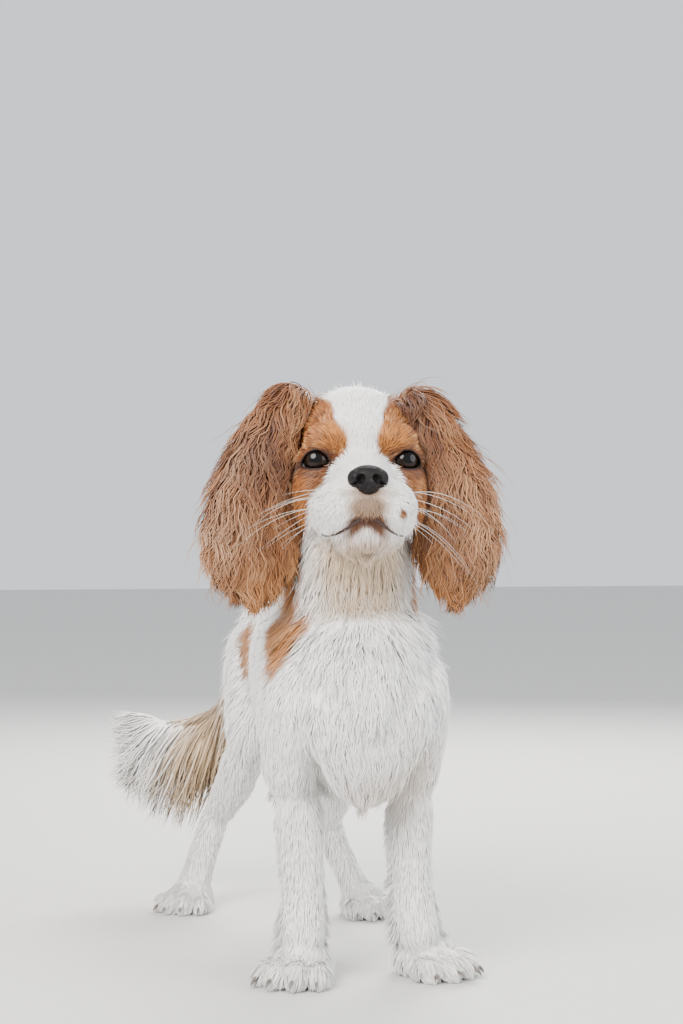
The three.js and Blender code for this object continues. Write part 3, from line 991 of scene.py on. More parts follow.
class NoseOperator(bpy.types.Operator):
    """Models the nose leather with its nostrils"""

    bl_idname = "spaniel.nose"
    bl_label = "Nose"

    def execute(self, context):
        pieces = [
            lump(HEAD, (0, -46.5, -19.5), (13.0, 8.5, 8.6)),
            lump(HEAD, (0, -46.5, -25), (8.5, 8.0, 7)),
        ]
        for side in (RIGHT, LEFT):
            pieces.append(lump(HEAD, (side * 8.2, -47.5, -20.5), (6.0, 7.2, 6.6)))
            pieces.append(lump(HEAD, (side * 3.2, -50.5, -24), (4.2, 5.2, 5.2)))
        nose = fuse(pieces, "nose", 0.5, 6)
        for side in (RIGHT, LEFT):
            cut(nose, lump(HEAD, (side * 6.2, -56, -21.8), (3.3, 6.5, 3.9), (0, side * -24, side * 22)))
            cut(nose, lump(HEAD, (side * 10.2, -53.5, -25.2), (3.6, 6, 1.2), (0, side * 30, side * -10)))
        cut(nose, lump(HEAD, (0, -58.2, -25), (0.8, 3.4, 11)))
        modify(nose, "SMOOTH", iterations=3)
        bpy.ops.object.shade_smooth()
        finish_piece(nose, "nose_leather", nose_material(), "nose_leather", "nose")
        return {"FINISHED"}


class LipsOperator(bpy.types.Operator):
    """Models the dark line of the closed lips"""

    bl_idname = "spaniel.lips"
    bl_label = "Lips"

    def execute(self, context):
        right = [(-x, y, z) for x, y, z in MOUTH[::-1]]
        spots = along_line(right[:-1] + MOUTH, np.linspace(0, 1, 26))
        outness = np.abs(np.linspace(-1, 1, 26))
        widths = 2.1 - 1.5 * outness**0.8
        rows = [(x, y + 1.1 + 0.8 * out, z, w * 1.1, w) for (x, y, z), w, out in zip(spots, widths, outness)]
        lips = limb(HEAD, rows, side=(0, 1, 0), segments=12, rings=90)
        select_only(lips)
        bpy.ops.object.shade_smooth()
        material = plain_material("lips", "lips", "dark", 500, 0.6)
        finish_piece(lips, "lips", material, "nose_leather")
        return {"FINISHED"}


class ClawsOperator(bpy.types.Operator):
    """Models the claws of all four paws"""

    bl_idname = "spaniel.claws"
    bl_label = "Claws"

    def execute(self, context):
        material = plain_material("claws", "claw", "nose_dry", 300, 0.3, coat=0.3)
        for name in PAWS:
            end, side = name.split("_")
            for index, (x, y, height) in enumerate(TOES):
                turn = Matrix.Translation((x, y, 0)) @ Matrix.Rotation(math.radians(x * TOE_SPREAD), 4, "Z")
                rows = [
                    (0, -11, height - 3.4, 1.3, 1.6),
                    (0, -15.5, height - 3.8, 1.2, 1.5),
                    (0, -18.2, height - 5.6, 0.8, 1.0),
                    (0, -19.6, height - 8.0, 0.3, 0.4),
                ]
                claw = limb(paw_place(name) @ turn, rows, segments=14, rings=14, bluntness=3)
                bpy.ops.object.shade_smooth()
                node = f"{end}leg_{side}_claw_{index + 1}"
                finish_piece(claw, f"claw_{name}_{index + 1}", material, "claw", node)
        return {"FINISHED"}


COLLAR_PLACE = BODY @ Matrix.Translation((-1, 2, 294)) @ Matrix.Rotation(math.radians(24), 4, "X")
COLLAR_RADII = (38, 43)
COLLAR_THICK = 3
COLLAR_HEIGHT = 12
COLLAR_EDGE = 0.8


class CollarOperator(bpy.types.Operator):
    """Models the leather collar"""

    bl_idname = "spaniel.collar"
    bl_label = "Collar"

    def execute(self, context):
        bpy.ops.object.select_all(action="DESELECT")
        bpy.ops.mesh.primitive_cylinder_add(vertices=96, radius=1, depth=1, end_fill_type="NOTHING")
        strap = context.object
        outer = [radius + COLLAR_THICK for radius in COLLAR_RADII]
        strap.matrix_world = COLLAR_PLACE @ Matrix.Diagonal((*outer, COLLAR_HEIGHT, 1))
        apply_place(strap)
        modify(strap, "SOLIDIFY", thickness=COLLAR_THICK * MM, offset=-1)
        modify(strap, "BEVEL", width=COLLAR_EDGE * MM, segments=3)
        bpy.ops.object.shade_smooth_by_angle(angle=math.radians(40))
        leather = plain_material("collar leather", "strap", (0.02, 0.012, 0.008), 420, 0.45, 0.5, 0.0004)
        finish_piece(strap, "collar_strap", leather, "strap", "collar")
        return {"FINISHED"}


# The coat


class Groom:
    """How the coat lies: rows of zones along lines, blended by nearness."""

    def __init__(self):
        self.rows = []
        self.pieces = []

    def add(self, piece, matrix, start, end, radius, flows, lengths, lift, wave, clump, width, mirror=True):
        """One zone, or a mirrored pair, along the line from start to end.

        Places and sizes are millimetres in matrix. Flows are the directions of the hair there, and lengths its
        lengths, at the start and the end. Lift is how far it stands off the skin, wave the swing of its waves,
        clump from 0 to 1 how far tufts meet in locks, and width that of a tuft.
        """
        for side in (RIGHT, LEFT) if mirror else (1,):
            flip = np.array((side, 1, 1)) if mirror else np.ones(3)
            name = piece.replace("SIDE", "right" if side < 0 else "left")
            place = mapped(matrix, [np.array(start) * flip, np.array(end) * flip])
            turn = np.array(matrix)[:3, :3] / MM
            courses = unit(np.array(flows) * flip) @ turn.T
            numbers = (*np.array(lengths) * MM, lift, wave * MM, clump, width * MM)
            self.rows.append((*place, radius * MM, *courses, *numbers))
            self.pieces.append(name)

    def close(self):
        rows = list(zip(*self.rows))
        self.start, self.end = np.array(rows[0]), np.array(rows[1])
        self.radius = np.array(rows[2])
        self.flow_start, self.flow_end = unit(rows[3]), unit(rows[4])
        self.numbers = np.array(rows[5:]).T
        self.axis = self.end - self.start
        self.square = np.maximum((self.axis**2).sum(1), 1e-12)
        return self

    def read(self, points):
        """The nearest zone, the flow, and length, lift, wave, clump and width at each point."""
        shares = np.clip(np.einsum("nzk,zk->nz", points[:, None] - self.start, self.axis) / self.square, 0, 1)
        spots = self.start + shares[..., None] * self.axis
        away = np.linalg.norm(points[:, None] - spots, axis=2) / self.radius
        weight = (away + 0.05) ** -6.0
        weight /= weight.sum(1, keepdims=True)
        flow = np.einsum("nz,zk->nk", weight * (1 - shares), self.flow_start)
        flow += np.einsum("nz,zk->nk", weight * shares, self.flow_end)
        lengths = (weight * (self.numbers[:, 0] * (1 - shares) + self.numbers[:, 1] * shares)).sum(1)
        others = weight @ self.numbers[:, 2:]
        return weight.argmax(1), shares, unit(flow), lengths, others

    def unwrap(self, points, zone, shares):
        """A place on a flat map of the coat's own zones: round each zone's line, and along it."""
        axis = unit(self.axis)[zone]
        spot = self.start[zone] + shares[np.arange(len(zone)), zone][:, None] * self.axis[zone]
        first = unit(np.cross(axis, np.where(np.abs(axis[:, 2:]) < 0.9, (0, 0, 1.0), (1.0, 0, 0))))
        second = np.cross(axis, first)
        out = points - spot
        angle = np.arctan2((out * second).sum(1), (out * first).sum(1)) / (2 * math.pi) + 0.5
        beyond = ((points - self.start[zone]) * axis).sum(1) / np.sqrt(self.square[zone])
        return np.stack([angle, np.clip((beyond + 0.6) / 2.2, 0, 1)], 1)


def dog_groom():
    """The lie of the coat over the whole dog."""
    groom = Groom()
    add = groom.add
    # Face: short, flowing up and back from the nose.
    add("coat_face", HEAD, (0, -42, -12), (0, -8, 12), 11,
        [(0, 0.4, 1), (0, 0.5, 1)], (2.8, 5), 0.12, 0, 0.1, 0.8, False)
    add("coat_face", HEAD, (7, 0, 26), (12, 24, 50), 16,
        [(0.15, 0.5, 1), (0.2, 1, 0.6)], (7, 12), 0.2, 0.3, 0.2, 1.0)
    add("coat_face", HEAD, (5, -50, -33), (10, -47, -40), 6,
        [(0.3, 0, -1), (0.4, 0.1, -1)], (3, 5), 0.14, 0, 0, 0.7)
    add("coat_face", HEAD, (12, -38, -22), (26, -16, -22), 11,
        [(0.6, 0.8, 0.1), (0.6, 0.9, -0.3)], (3.6, 6), 0.14, 0, 0.1, 0.8)
    add("coat_face", HEAD, (12, -44, -40), (32, -16, -46), 11,
        [(0.4, 0.3, -0.8), (0.35, 0.6, -0.7)], (5, 8), 0.2, 0.2, 0.2, 0.85)
    add("coat_face", HEAD, (32, 0, -15), (44, 20, -16), 13,
        [(0.5, 0.7, -0.4), (0.2, 0.8, -0.6)], (5, 11), 0.18, 0.2, 0.2, 0.9)
    add("coat_face", HEAD, (14, -9, 8), (24, -8, 17), 8,
        [(0.4, 0.3, 1), (0.8, 0.4, 0.7)], (4, 5.5), 0.18, 0, 0.1, 0.8)
    add("coat_face", HEAD, (36, 4, 14), (42, 20, 24), 14,
        [(0.6, 0.8, 0.3), (0.3, 1, 0)], (6, 11), 0.18, 0, 0.2, 0.9)
    add("coat_face", HEAD, (0, -38, -56), (0, -18, -64), 13,
        [(0, 0, -1), (0, 0.5, -0.9)], (6, 12), 0.25, 0.3, 0.3, 0.9, False)
    # Skull, cheeks and nape
    add("coat_skull", HEAD, (10, 40, 58), (26, 84, 12), 24,
        [(0.25, 0.8, 0.6), (0.1, 0.6, -0.9)], (15, 24), 0.32, 0.6, 0.3, 1.3)
    add("coat_skull", HEAD, (28, 26, 50), (36, 44, 44), 16,
        [(1, 0.2, 0.25), (1, 0.3, 0)], (22, 26), 0.3, 0.8, 0.3, 1.3)
    add("coat_skull", BODY, (12, 40, 344), (14, 44, 322), 22,
        [(0.1, 0.5, -1), (0.1, 0.5, -1)], (30, 30), 0.4, 1.0, 0.3, 1.5)
    add("coat_skull", HEAD, (42, 26, 0), (42, 48, -20), 22,
        [(0.3, 0.9, -0.4), (0.1, 0.5, -0.9)], (13, 20), 0.25, 0.6, 0.3, 1.3)
    add("coat_skull", HEAD, (34, 12, -44), (28, 34, -58), 18,
        [(0.4, 0.4, -0.9), (0.2, 0.3, -1)], (14, 22), 0.35, 0.8, 0.3, 1.3)
    # Throat, ruff and chest
    add("coat_throat", BODY, (-3, -52, 322), (-2, -52, 298), 26,
        [(0, 0.1, -1), (0, -0.2, -1)], (18, 24), 0.34, 1.8, 0.35, 1.3, False)
    add("coat_throat", BODY, (36, -10, 312), (44, -8, 262), 24,
        [(0.45, 0.1, -1), (0.5, 0, -1)], (28, 30), 0.42, 1.8, 0.35, 1.4)
    add("coat_throat", BODY, (0, -58, 288), (0, -62, 262), 26,
        [(0, -0.3, -1), (0, -0.1, -1)], (28, 30), 0.36, 2.0, 0.35, 1.4, False)
    add("coat_chest", BODY, (0, -66, 240), (1, -62, 186), 30,
        [(0, -0.1, -1), (0, 0, -1)], (28, 32), 0.2, 2.2, 0.4, 1.4, False)
    add("coat_chest", BODY, (34, -52, 246), (32, -46, 198), 24,
        [(0.3, 0, -1), (-0.05, 0.05, -1)], (24, 22), 0.2, 2.0, 0.35, 1.4)
    add("coat_chest", BODY, (18, -46, 164), (16, -34, 146), 22,
        [(-0.05, 0, -1), (-0.1, 0.1, -1)], (28, 23), 0.16, 2.0, 0.4, 1.4)
    # Back, shoulders, flanks and belly
    add("coat_back", BODY, (0, 46, 322), (0, 82, 302), 30,
        [(0, 0.8, -0.6), (0, 1, -0.1)], (22, 18), 0.18, 0.8, 0.3, 1.7, False)
    add("coat_back", BODY, (14, 90, 296), (14, 240, 282), 34,
        [(0.2, 1, -0.15), (0.2, 1, -0.25)], (16, 17), 0.16, 0.9, 0.3, 1.8)
    add("coat_flank_SIDE", BODY, (54, -14, 258), (58, 8, 200), 30,
        [(0.3, 0.25, -1), (0, 0.4, -1)], (24, 17), 0.26, 1.2, 0.3, 1.6)
    add("coat_flank_SIDE", BODY, (54, 60, 246), (48, 200, 240), 34,
        [(0, 0.8, -0.7), (0, 0.8, -0.7)], (17, 17), 0.18, 1.0, 0.3, 1.8)
    add("coat_flank_SIDE", BODY, (50, 60, 186), (44, 190, 194), 30,
        [(0, 0.7, -0.8), (0, 0.7, -0.8)], (20, 19), 0.2, 1.2, 0.3, 1.8)
    add("coat_flank_SIDE", BODY, (14, 20, 142), (14, 190, 170), 26,
        [(0.1, 0.5, -0.9), (0.1, 0.6, -0.8)], (28, 22), 0.25, 1.2, 0.35, 1.8)
    add("coat_flank_SIDE", BODY, (22, 262, 262), (20, 284, 226), 24,
        [(0.1, 0.6, -0.8), (0, 0.3, -1)], (18, 26), 0.2, 1.0, 0.3, 1.8)
    # Legs
    for name, side in SIDES.items():
        foot = FORE_SPREAD[name]
        piece = f"coat_foreleg_{name}"
        x = [side * 50, side * 48, side * 42 + foot / 3, side * 37 + foot / 2, side * 38 + foot]
        add(piece, BODY, (x[0], -24, 226), (x[1], -16, 156), 27,
            [(side * 0.1, 0.2, -1), (0, 0.2, -1)], (16, 15), 0.1, 0.8, 0.2, 1.25, False)
        add(piece, BODY, (x[2], -8, 138), (x[3], -5, 74), 16,
            [(0, 0.1, -1), (0, 0.05, -1)], (15, 10), 0.17, 0.4, 0.15, 1.2, False)
        add(piece, BODY, (x[3], -5, 66), (x[4], -6, 30), 15,
            [(0, 0.05, -1), (0, -0.5, -1)], (9, 10), 0.1, 0.4, 0.15, 1.2, False)
        add(piece, BODY, (x[1], 26, 176), (x[2], 22, 128), 15,
            [(side * 0.3, 0.9, -0.9), (side * 0.3, 0.8, -0.9)], (26, 26), 0.45, 1.8, 0.45, 1.4, False)
        add(piece, BODY, (x[2], 20, 120), (x[3], 18, 40), 11,
            [(0, 0.8, -0.9), (0, 0.8, -0.8)], (26, 24), 0.45, 1.6, 0.45, 1.3, False)
        for flip in (-1, 1):
            for top, bottom, fur, rise in [(172, 134, 12, 0.2), (126, 84, 14, 0.4), (78, 36, 19, 0.6)]:
                start = (side * 45 + flip * 15, 10, top)
                end = (side * 37 + foot * 0.6 + flip * 14, 8, bottom)
                course = (flip * 0.7, 0.35, -1)
                add(piece, BODY, start, end, 9, [course, course], (fur, fur), rise, 1.0, 0.4, 1.2, False)
        lines = HIND_LINES[name]
        piece = f"coat_hindleg_{name}"
        hip, knee = np.array(lines[0][0][:3]), np.array(lines[0][-1][:3])
        hock, foot_top = np.array(lines[1][-1][:3]), np.array(lines[2][-1][:3])
        add(piece, BODY, hip, knee, 32,
            [(side * 0.05, 0.4, -1), (0, 0.5, -1)], (18, 15), 0.2, 0.9, 0.25, 1.5, False)
        add(piece, BODY, knee, hock, 17,
            [(0, 0.6, -0.9), (0, 0.6, -0.9)], (14, 12), 0.25, 0.7, 0.25, 1.4, False)
        add(piece, BODY, hock, foot_top, 13, [(0, 0, -1), (0, -0.2, -1)], (10, 10), 0.25, 0.5, 0.25, 1.3, False)
        seat = hip + (side * 4, 42, -30)
        add(piece, BODY, seat, hock + (0, 4, 42), 20,
            [(0, 0.6, -1), (0, 0.5, -1)], (34, 34), 0.35, 1.8, 0.45, 1.5, False)
        add(piece, BODY, hock + (0, 12, 20), foot_top + (0, 14, 4), 10,
            [(0, 0.6, -1), (0, 0.5, -1)], (18, 14), 0.4, 1.0, 0.4, 1.3, False)
    for name in PAWS:
        place = paw_place(name)
        piece = f"coat_feet_{name.split('_')[0]}"
        add(piece, place, (0, 6, 26), (0, -14, 18), 18,
            [(0, -0.6, -0.7), (0, -1, -0.4)], (11, 8), 0.16, 0.4, 0.3, 1.1, False)
        for x, y, height in TOES:
            course = [(x * 0.01, -1, -0.3), (x * 0.02, -0.7, -0.9)]
            add(piece, place, (x * 0.8, y + 8, height), (x * 1.15, y - 11, height - 3), 9,
                course, (11, 10), 0.26, 0.4, 0.4, 1.0, False)
        for flip in (-1, 1):
            add(piece, place, (flip * 20, 10, 16), (flip * 22, -8, 8), 10,
                [(flip * 0.5, -0.3, -1)] * 2, (11, 9), 0.35, 0.5, 0.4, 1.1, False)
        add(piece, place, (0, 18, 12), (0, 20, 5), 14,
            [(0, 0.6, -0.9), (0, 0.6, -0.9)], (12, 10), 0.3, 0.5, 0.3, 1.2, False)
    # Tail and its plume
    add("coat_tail", BODY, (2, 270, 252), (-14, 318, 210), 18,
        [(-0.2, 0.5, -0.8), (-0.35, 0.1, -0.9)], (26, 46), 0.14, 1.2, 0.35, 1.6, False)
    add("coat_tail", BODY, (-18, 328, 196), (-44, 348, 160), 16,
        [(-0.25, 0, -1), (-0.25, -0.05, -1)], (72, 98), 0.1, 2.0, 0.22, 2.3, False)
    add("coat_tail", BODY, (-50, 350, 156), (-90, 358, 152), 14,
        [(-0.3, -0.05, -1), (-0.4, -0.05, -0.9)], (98, 74), 0.1, 2.0, 0.22, 2.3, False)
    add("coat_tail", BODY, (-96, 359, 153), (-118, 360, 160), 12,
        [(-0.6, -0.05, -0.7), (-0.9, 0, -0.2)], (44, 20), 0.14, 1.4, 0.22, 1.9, False)
    return groom.close()


# Spacing of the tufts in millimetres and the rings in each, by piece.
COAT_PIECES = {
    "coat_face": (1.1, 2),
    "coat_skull": (1.65, 2),
    "coat_throat": (1.8, 4),
    "coat_chest": (1.8, 4),
    "coat_back": (2.1, 2),
    "coat_flank_right": (2.2, 2),
    "coat_flank_left": (2.2, 2),
    "coat_foreleg_right": (1.75, 3),
    "coat_foreleg_left": (1.75, 3),
    "coat_hindleg_right": (1.9, 2),
    "coat_hindleg_left": (1.9, 2),
    "coat_feet_fore": (1.35, 2),
    "coat_feet_hind": (1.35, 2),
    "coat_tail": (1.36, 5),
}


def skin_arrays(mesh):
    """A mesh's points, the corners of its triangles, and the normals at its points."""
    mesh.calc_loop_triangles()
    corners = np.empty(len(mesh.loop_triangles) * 3, np.int32)
    mesh.loop_triangles.foreach_get("vertices", corners)
    return rows_of(mesh.vertices, "co"), corners.reshape(-1, 3), rows_of(mesh.vertices, "normal")


def scatter(points, corners, normals, spacing, rng):
    """Even roots over a surface, about spacing apart, with their normals."""
    a, b, c = (points[corners[:, i]] for i in range(3))
    area = np.linalg.norm(np.cross(b - a, c - a), axis=1) / 2
    count = int(area.sum() / spacing**2 * 3.2)
    chosen = rng.choice(len(area), count, p=area / area.sum())
    u, v = rng.random((2, count))
    flip = u + v > 1
    u[flip], v[flip] = 1 - u[flip], 1 - v[flip]
    w = 1 - u - v
    mixed = [field[corners[chosen]] for field in (points, normals)]
    place, normal = (m[:, 0] * w[:, None] + m[:, 1] * u[:, None] + m[:, 2] * v[:, None] for m in mixed)
    cells = np.floor(place / spacing).astype(np.int64)
    keys = (cells[:, 0] * 73856093) ^ (cells[:, 1] * 19349663) ^ (cells[:, 2] * 83492791)
    _, first = np.unique(keys, return_index=True)
    return place[first], unit(normal[first])


class Surface:
    """A mesh, asked for its nearest points and the normals there."""

    def __init__(self, mesh):
        points, corners, _ = skin_arrays(mesh)
        self.tree = BVHTree.FromPolygons(points.tolist(), corners.tolist())

    def nearest(self, places):
        found = [self.tree.find_nearest(place) for place in places.tolist()]
        return np.array([hit[0] for hit in found]), np.array([hit[1] for hit in found])


def ear_reach(points):
    """Distance from each point to the nearer ear's core."""
    cores = [Surface(bpy.data.meshes[f"leather_{name}_core"]) for name in SIDES]
    return np.min([np.linalg.norm(points - core.nearest(points)[0], axis=1) for core in cores], axis=0)


ROOT_DEPTH = 0.0006  # how deep a tuft starts below the skin
CLOSE = 0.012  # hair farther than this from the skin hangs free of it
STRAYS = 0.03  # the share of hairs that stand off and are thinner
STRAY_REACH = np.array((0.010, 0.012, 0.008))  # how far single hairs may pass the solid outline


def grow(surface, roots, normals, groom, rings, scale, rng):
    """The middle lines of tufts, from their roots along the lie of the coat, with the coat's values at the roots."""
    count = len(roots)
    zone, shares, flow, lengths, others = groom.read(roots)
    lift, wave, clump, width = others.T
    stray = rng.random(count) < STRAYS
    lift = np.where(stray, lift * 2.0, lift)
    width = np.where(stray, width * 0.6, width)
    clump = np.where(stray, 0, clump)
    lengths = lengths * scale * np.where(stray, 1.1, rng.uniform(0.75, 1.12, count))
    here = roots - normals * ROOT_DEPTH
    paths = [here]
    under = normals
    heading = None
    for ring in range(rings):
        if ring:
            flow = groom.read(here)[2]
        flow = unit(flow + rng.normal(scale=0.07, size=flow.shape))
        flat = unit(flow - (flow * under).sum(1, keepdims=True) * under + 0.15 * flow)
        rise = lift * (0.5 if ring else 1.6)
        course = unit(flat + under * rise[:, None])
        heading = unit(0.55 * heading + 0.45 * course) if ring else course
        here = here + heading * (lengths / rings)[:, None]
        spots, skin_normals = surface.nearest(here)
        height = ((here - spots) * skin_normals).sum(1)
        close = np.linalg.norm(here - spots, axis=1) < CLOSE
        want = lengths * lift * 0.5 * ((ring + 1) / rings) ** 0.8 + 0.0008
        push = np.where(close | (height < 0), np.maximum(0, want - height), 0)
        here = here + skin_normals * np.minimum(push, 0.006)[:, None]
        under = unit(np.where((close & (height > -0.004))[:, None], skin_normals, under))
        paths.append(here)
    return np.stack(paths, 1), lengths, wave, clump, width, zone, shares


def keep_inside(lines):
    """Shortens the tufts that would pass the solid outline by more than STRAY_REACH."""
    low, high = np.array(CAD_BOX) + np.array((-STRAY_REACH, STRAY_REACH))
    middle = (low + high) / 2
    beyond = (np.abs(lines - middle) / (high - middle)).max((1, 2))
    short = np.minimum(1, beyond**-4.0)[:, None, None]
    return lines[:, :1] + (lines - lines[:, :1]) * short


def gather(lines, roots, normals, lengths, wave, clump, rng, lock_size):
    """Draws neighbouring tufts together into wavy locks."""
    count, steps = lines.shape[:2]
    leaders = rng.choice(count, max(1, int(count * lock_size)), replace=False)
    tree = KDTree(len(leaders))
    for i, leader in enumerate(leaders):
        tree.insert(roots[leader], i)
    tree.balance()
    owner = np.array([leaders[tree.find(root)[1]] for root in roots.tolist()])
    share = np.linspace(0, 1, steps)[None, :, None]
    pull = clump[:, None, None] * share**1.4
    offset = lines[owner] - roots[owner][:, None] + roots[:, None]
    meeting = lines[owner] * 0.82 + offset * 0.18
    same_way = ((normals[owner] * normals).sum(1) > 0.4)[:, None, None]
    lines = np.where(same_way, lines * (1 - pull) + meeting * pull, lines)
    phase = rng.uniform(0, 2 * math.pi, count)[owner][:, None]
    phase = phase + rng.normal(scale=0.35, size=(count, 1))
    turns = (lengths / 0.016)[:, None]
    t = np.linspace(0, 1, steps)[None]
    heading = unit(lines[:, -1] - lines[:, 0])
    sideways = unit(np.cross(heading, normals))
    swing = np.sin(phase + t * turns * 2 * math.pi / 1.6) - np.sin(phase)
    size = wave[:, None] * t**0.8
    lines = lines + sideways[:, None] * (swing * size)[..., None]
    lines = lines + normals[:, None] * (np.cos(phase + t * turns * 2) * size * 0.35 * t)[..., None]
    return keep_inside(lines), rng.random(count)[owner]


def tuft_faces(rings):
    """The quads and triangles of one tuft, with corners 3r to 3r + 2 in ring r and the tip after them."""
    quads = [
        (r * 3 + s, r * 3 + (s + 1) % 3, r * 3 + (s + 1) % 3 + 3, r * 3 + s + 3)
        for r in range(rings - 1) for s in range(3)
    ]
    last, tip = rings * 3 - 3, rings * 3
    return quads, [(last + s, last + (s + 1) % 3, tip) for s in range(3)] + [(0, 2, 1)]


def tuft_loops(verts, rings):
    """The corners of all tufts' faces and where each face starts, with the faces outwards."""
    count, each = verts.shape[:2]
    quads, tris = tuft_faces(rings)
    first = verts[0]
    outward = np.cross(first[1] - first[0], first[-1] - first[0])
    if (outward * (first[:3].mean(0) - first[2])).sum() < 0:
        quads, tris = ([face[::-1] for face in faces] for faces in (quads, tris))
    base = (np.arange(count) * each)[:, None, None]
    quads = (base + np.array(quads, int).reshape(1, -1, 4)).ravel()
    tris = (base + np.array(tris, int)[None]).ravel()
    starts = [np.arange(len(quads) // 4) * 4, len(quads) + np.arange(len(tris) // 3) * 3]
    return np.concatenate([quads, tris]), np.concatenate(starts)


PATCH = 0.003  # the width of a tuft's patch on the map
HANG_TURN = unit((0.1, -1, 0.35))  # hair below the body is shaded as if its skin were turned this way


def build_tufts(name, lines, widths, normals, marks, chance, lock, homes, softness, free, thick, taper):
    """A mesh of closed, tapering tufts. Each has three sides and lies flat on the coat below it.

    Softness shades a tuft's root like the coat round it, and free is how far its tip is shaded on its own.
    """
    count, steps = lines.shape[:2]
    rings = steps - 1
    each = rings * 3 + 1
    hanging = np.clip(-normals[:, 2:] * 3 - 1.2, 0, 1.8)
    normals = unit(normals + hanging * HANG_TURN)[:, None]
    t = np.linspace(0, 1, steps)
    along = np.append(np.repeat(t[:rings], 3), 1)
    heading = unit(np.gradient(lines, axis=1))
    side = unit(np.cross(heading, normals))
    up = np.cross(side, heading)
    up = up * np.sign((up * normals).sum(2, keepdims=True) + 1e-9)
    half = (widths[:, None] * (1 - t**taper * 0.92) / 2)[:, :rings, None]
    body, side, tip_up, up = lines[:, :rings], side[:, :rings], up[:, -1:], up[:, :rings]

    corners = np.stack([body - side * half, body + side * half, body + up * (2 * thick * half)], 2)
    verts = np.concatenate([corners.reshape(count, -1, 3), lines[:, -1:]], 1)
    ways = np.stack([-side - up * 0.45, side - up * 0.45, up], 2).reshape(count, -1, 3)
    ways = np.concatenate([unit(ways), tip_up], 1)
    soft = softness * (1 - free * along[:, None])
    shading = unit(normals * soft + ways * (1 - soft))
    loops, starts = tuft_loops(verts, rings)

    mesh = bpy.data.meshes.new(name)
    mesh.vertices.add(count * each)
    mesh.vertices.foreach_set("co", verts.astype(np.float32).ravel())
    mesh.loops.add(len(loops))
    mesh.loops.foreach_set("vertex_index", loops.astype(np.int32))
    mesh.polygons.add(len(starts))
    mesh.polygons.foreach_set("loop_start", starts.astype(np.int32))
    mesh.update(calc_edges=True)
    mesh.polygons.foreach_set("use_smooth", np.ones(len(starts), bool))
    store(mesh, "marks", "FLOAT_COLOR", np.repeat(marks, each, 0))
    strand = np.stack([np.tile(along, count), np.repeat(chance, each), np.repeat(lock, each)], 1)
    store(mesh, "strand", "FLOAT_VECTOR", strand)
    across = np.append(np.tile([0, 1, 0.5], rings), 0.5)
    patch = np.stack([across, along], 1) * PATCH
    uv = mesh.uv_layers.new(name="OFBake")
    uv.data.foreach_set("uv", (homes[:, None] + patch).reshape(-1, 2)[loops].astype(np.float32).ravel())
    mesh.normals_split_custom_set_from_vertices(shading.reshape(-1, 3).astype(np.float32))
    piece = bpy.data.objects.new(name, mesh)
    bpy.context.collection.objects.link(piece)
    return piece


def map_cells(zone, flat):
    """Gives each zone its own cell of the flat map."""
    names, cell = np.unique(zone, return_inverse=True)
    across = math.ceil(math.sqrt(len(names)))
    corner = np.stack([cell % across, cell // across], 1) / across
    return corner + flat * (1 / across - 0.006)


# How tufts are shaded and shaped: softness, freedom of the tip, thickness for its width, and how late it tapers.
BODY_TUFT = (0.78, 0.3, 0.4, 1.6)
TAIL_TUFT = (0.78, 0.85, 0.4, 1.6)
EAR_TUFT = (0.45, 0.6, 0.45, 2.4)
WHISKER = (0.3, 0.8, 1.2, 1.6)
WHISKER_STEPS = 9
WHISKER_WIDTH = 0.00028
LOWEST_HAIR = 0.0004  # the lowest that hair hangs, above the floor
EAR_SKIN = 0.0016  # skin this near an ear's core is that ear's
EAR_BURIED = 0.0018  # roots deeper than this below the skin are left out


def grow_piece(name, surface, groom, roots, normals, marks, rings, lock_share, tuft, material, slot, rng):
    """Grows one piece of the coat from its roots. There is a lock for each lock_share of a tuft."""
    scale = bpy.context.scene.spaniel_sizes.coat_scale
    lines, lengths, wave, clump, width, zone, shares = grow(surface, roots, normals, groom, rings, scale, rng)
    lines, lock = gather(lines, roots, normals, lengths, wave, clump, rng, lock_share)
    lines[..., 2] = np.maximum(lines[..., 2], LOWEST_HAIR)
    homes = map_cells(zone, groom.unwrap(roots, zone, shares))
    chance = rng.random(len(roots))
    widths = width * rng.uniform(0.8, 1.2, len(roots))
    piece = build_tufts(name, lines, widths, normals, marks, chance, lock, homes, *tuft)
    finish_piece(piece, name, material, slot)


class CoatOperator(bpy.types.Operator):
    """Grows the coat of the head, body, legs and tail"""

    bl_idname = "spaniel.coat"
    bl_label = "Coat"

    def execute(self, context):
        skin = bpy.data.objects["skin"].data
        points, corners, normals = skin_arrays(skin)
        bare = np.empty(len(points), np.float32)
        skin.attributes["bare"].data.foreach_get("value", bare)
        on_ear = ear_reach(points[corners].mean(1)) < EAR_SKIN
        corners = corners[~on_ear & (bare[corners].max(1) < 0.35)]
        groom = dog_groom()
        surface = Surface(skin)
        material = coat_material("coat")
        centres = points[corners].mean(1)
        zone = np.concatenate([groom.read(chunk)[0] for chunk in np.array_split(centres, 12)])
        piece_of = np.array(groom.pieces)[zone]
        for index, (name, (spacing, rings)) in enumerate(COAT_PIECES.items()):
            rng = np.random.default_rng(100 + index)
            mine = corners[piece_of == name]
            if not len(mine):
                raise RuntimeError(f"{name} has no skin")
            roots, root_normals = scatter(points, mine, normals, spacing * MM, rng)
            near_ears = name in ("coat_face", "coat_skull")
            marks = all_markings(roots) if near_ears else markings(roots)
            tuft = TAIL_TUFT if name == "coat_tail" else BODY_TUFT
            grow_piece(
                name, surface, groom, roots, root_normals, marks, rings, 0.06, tuft, material, "coat_white", rng
            )
        return {"FINISHED"}


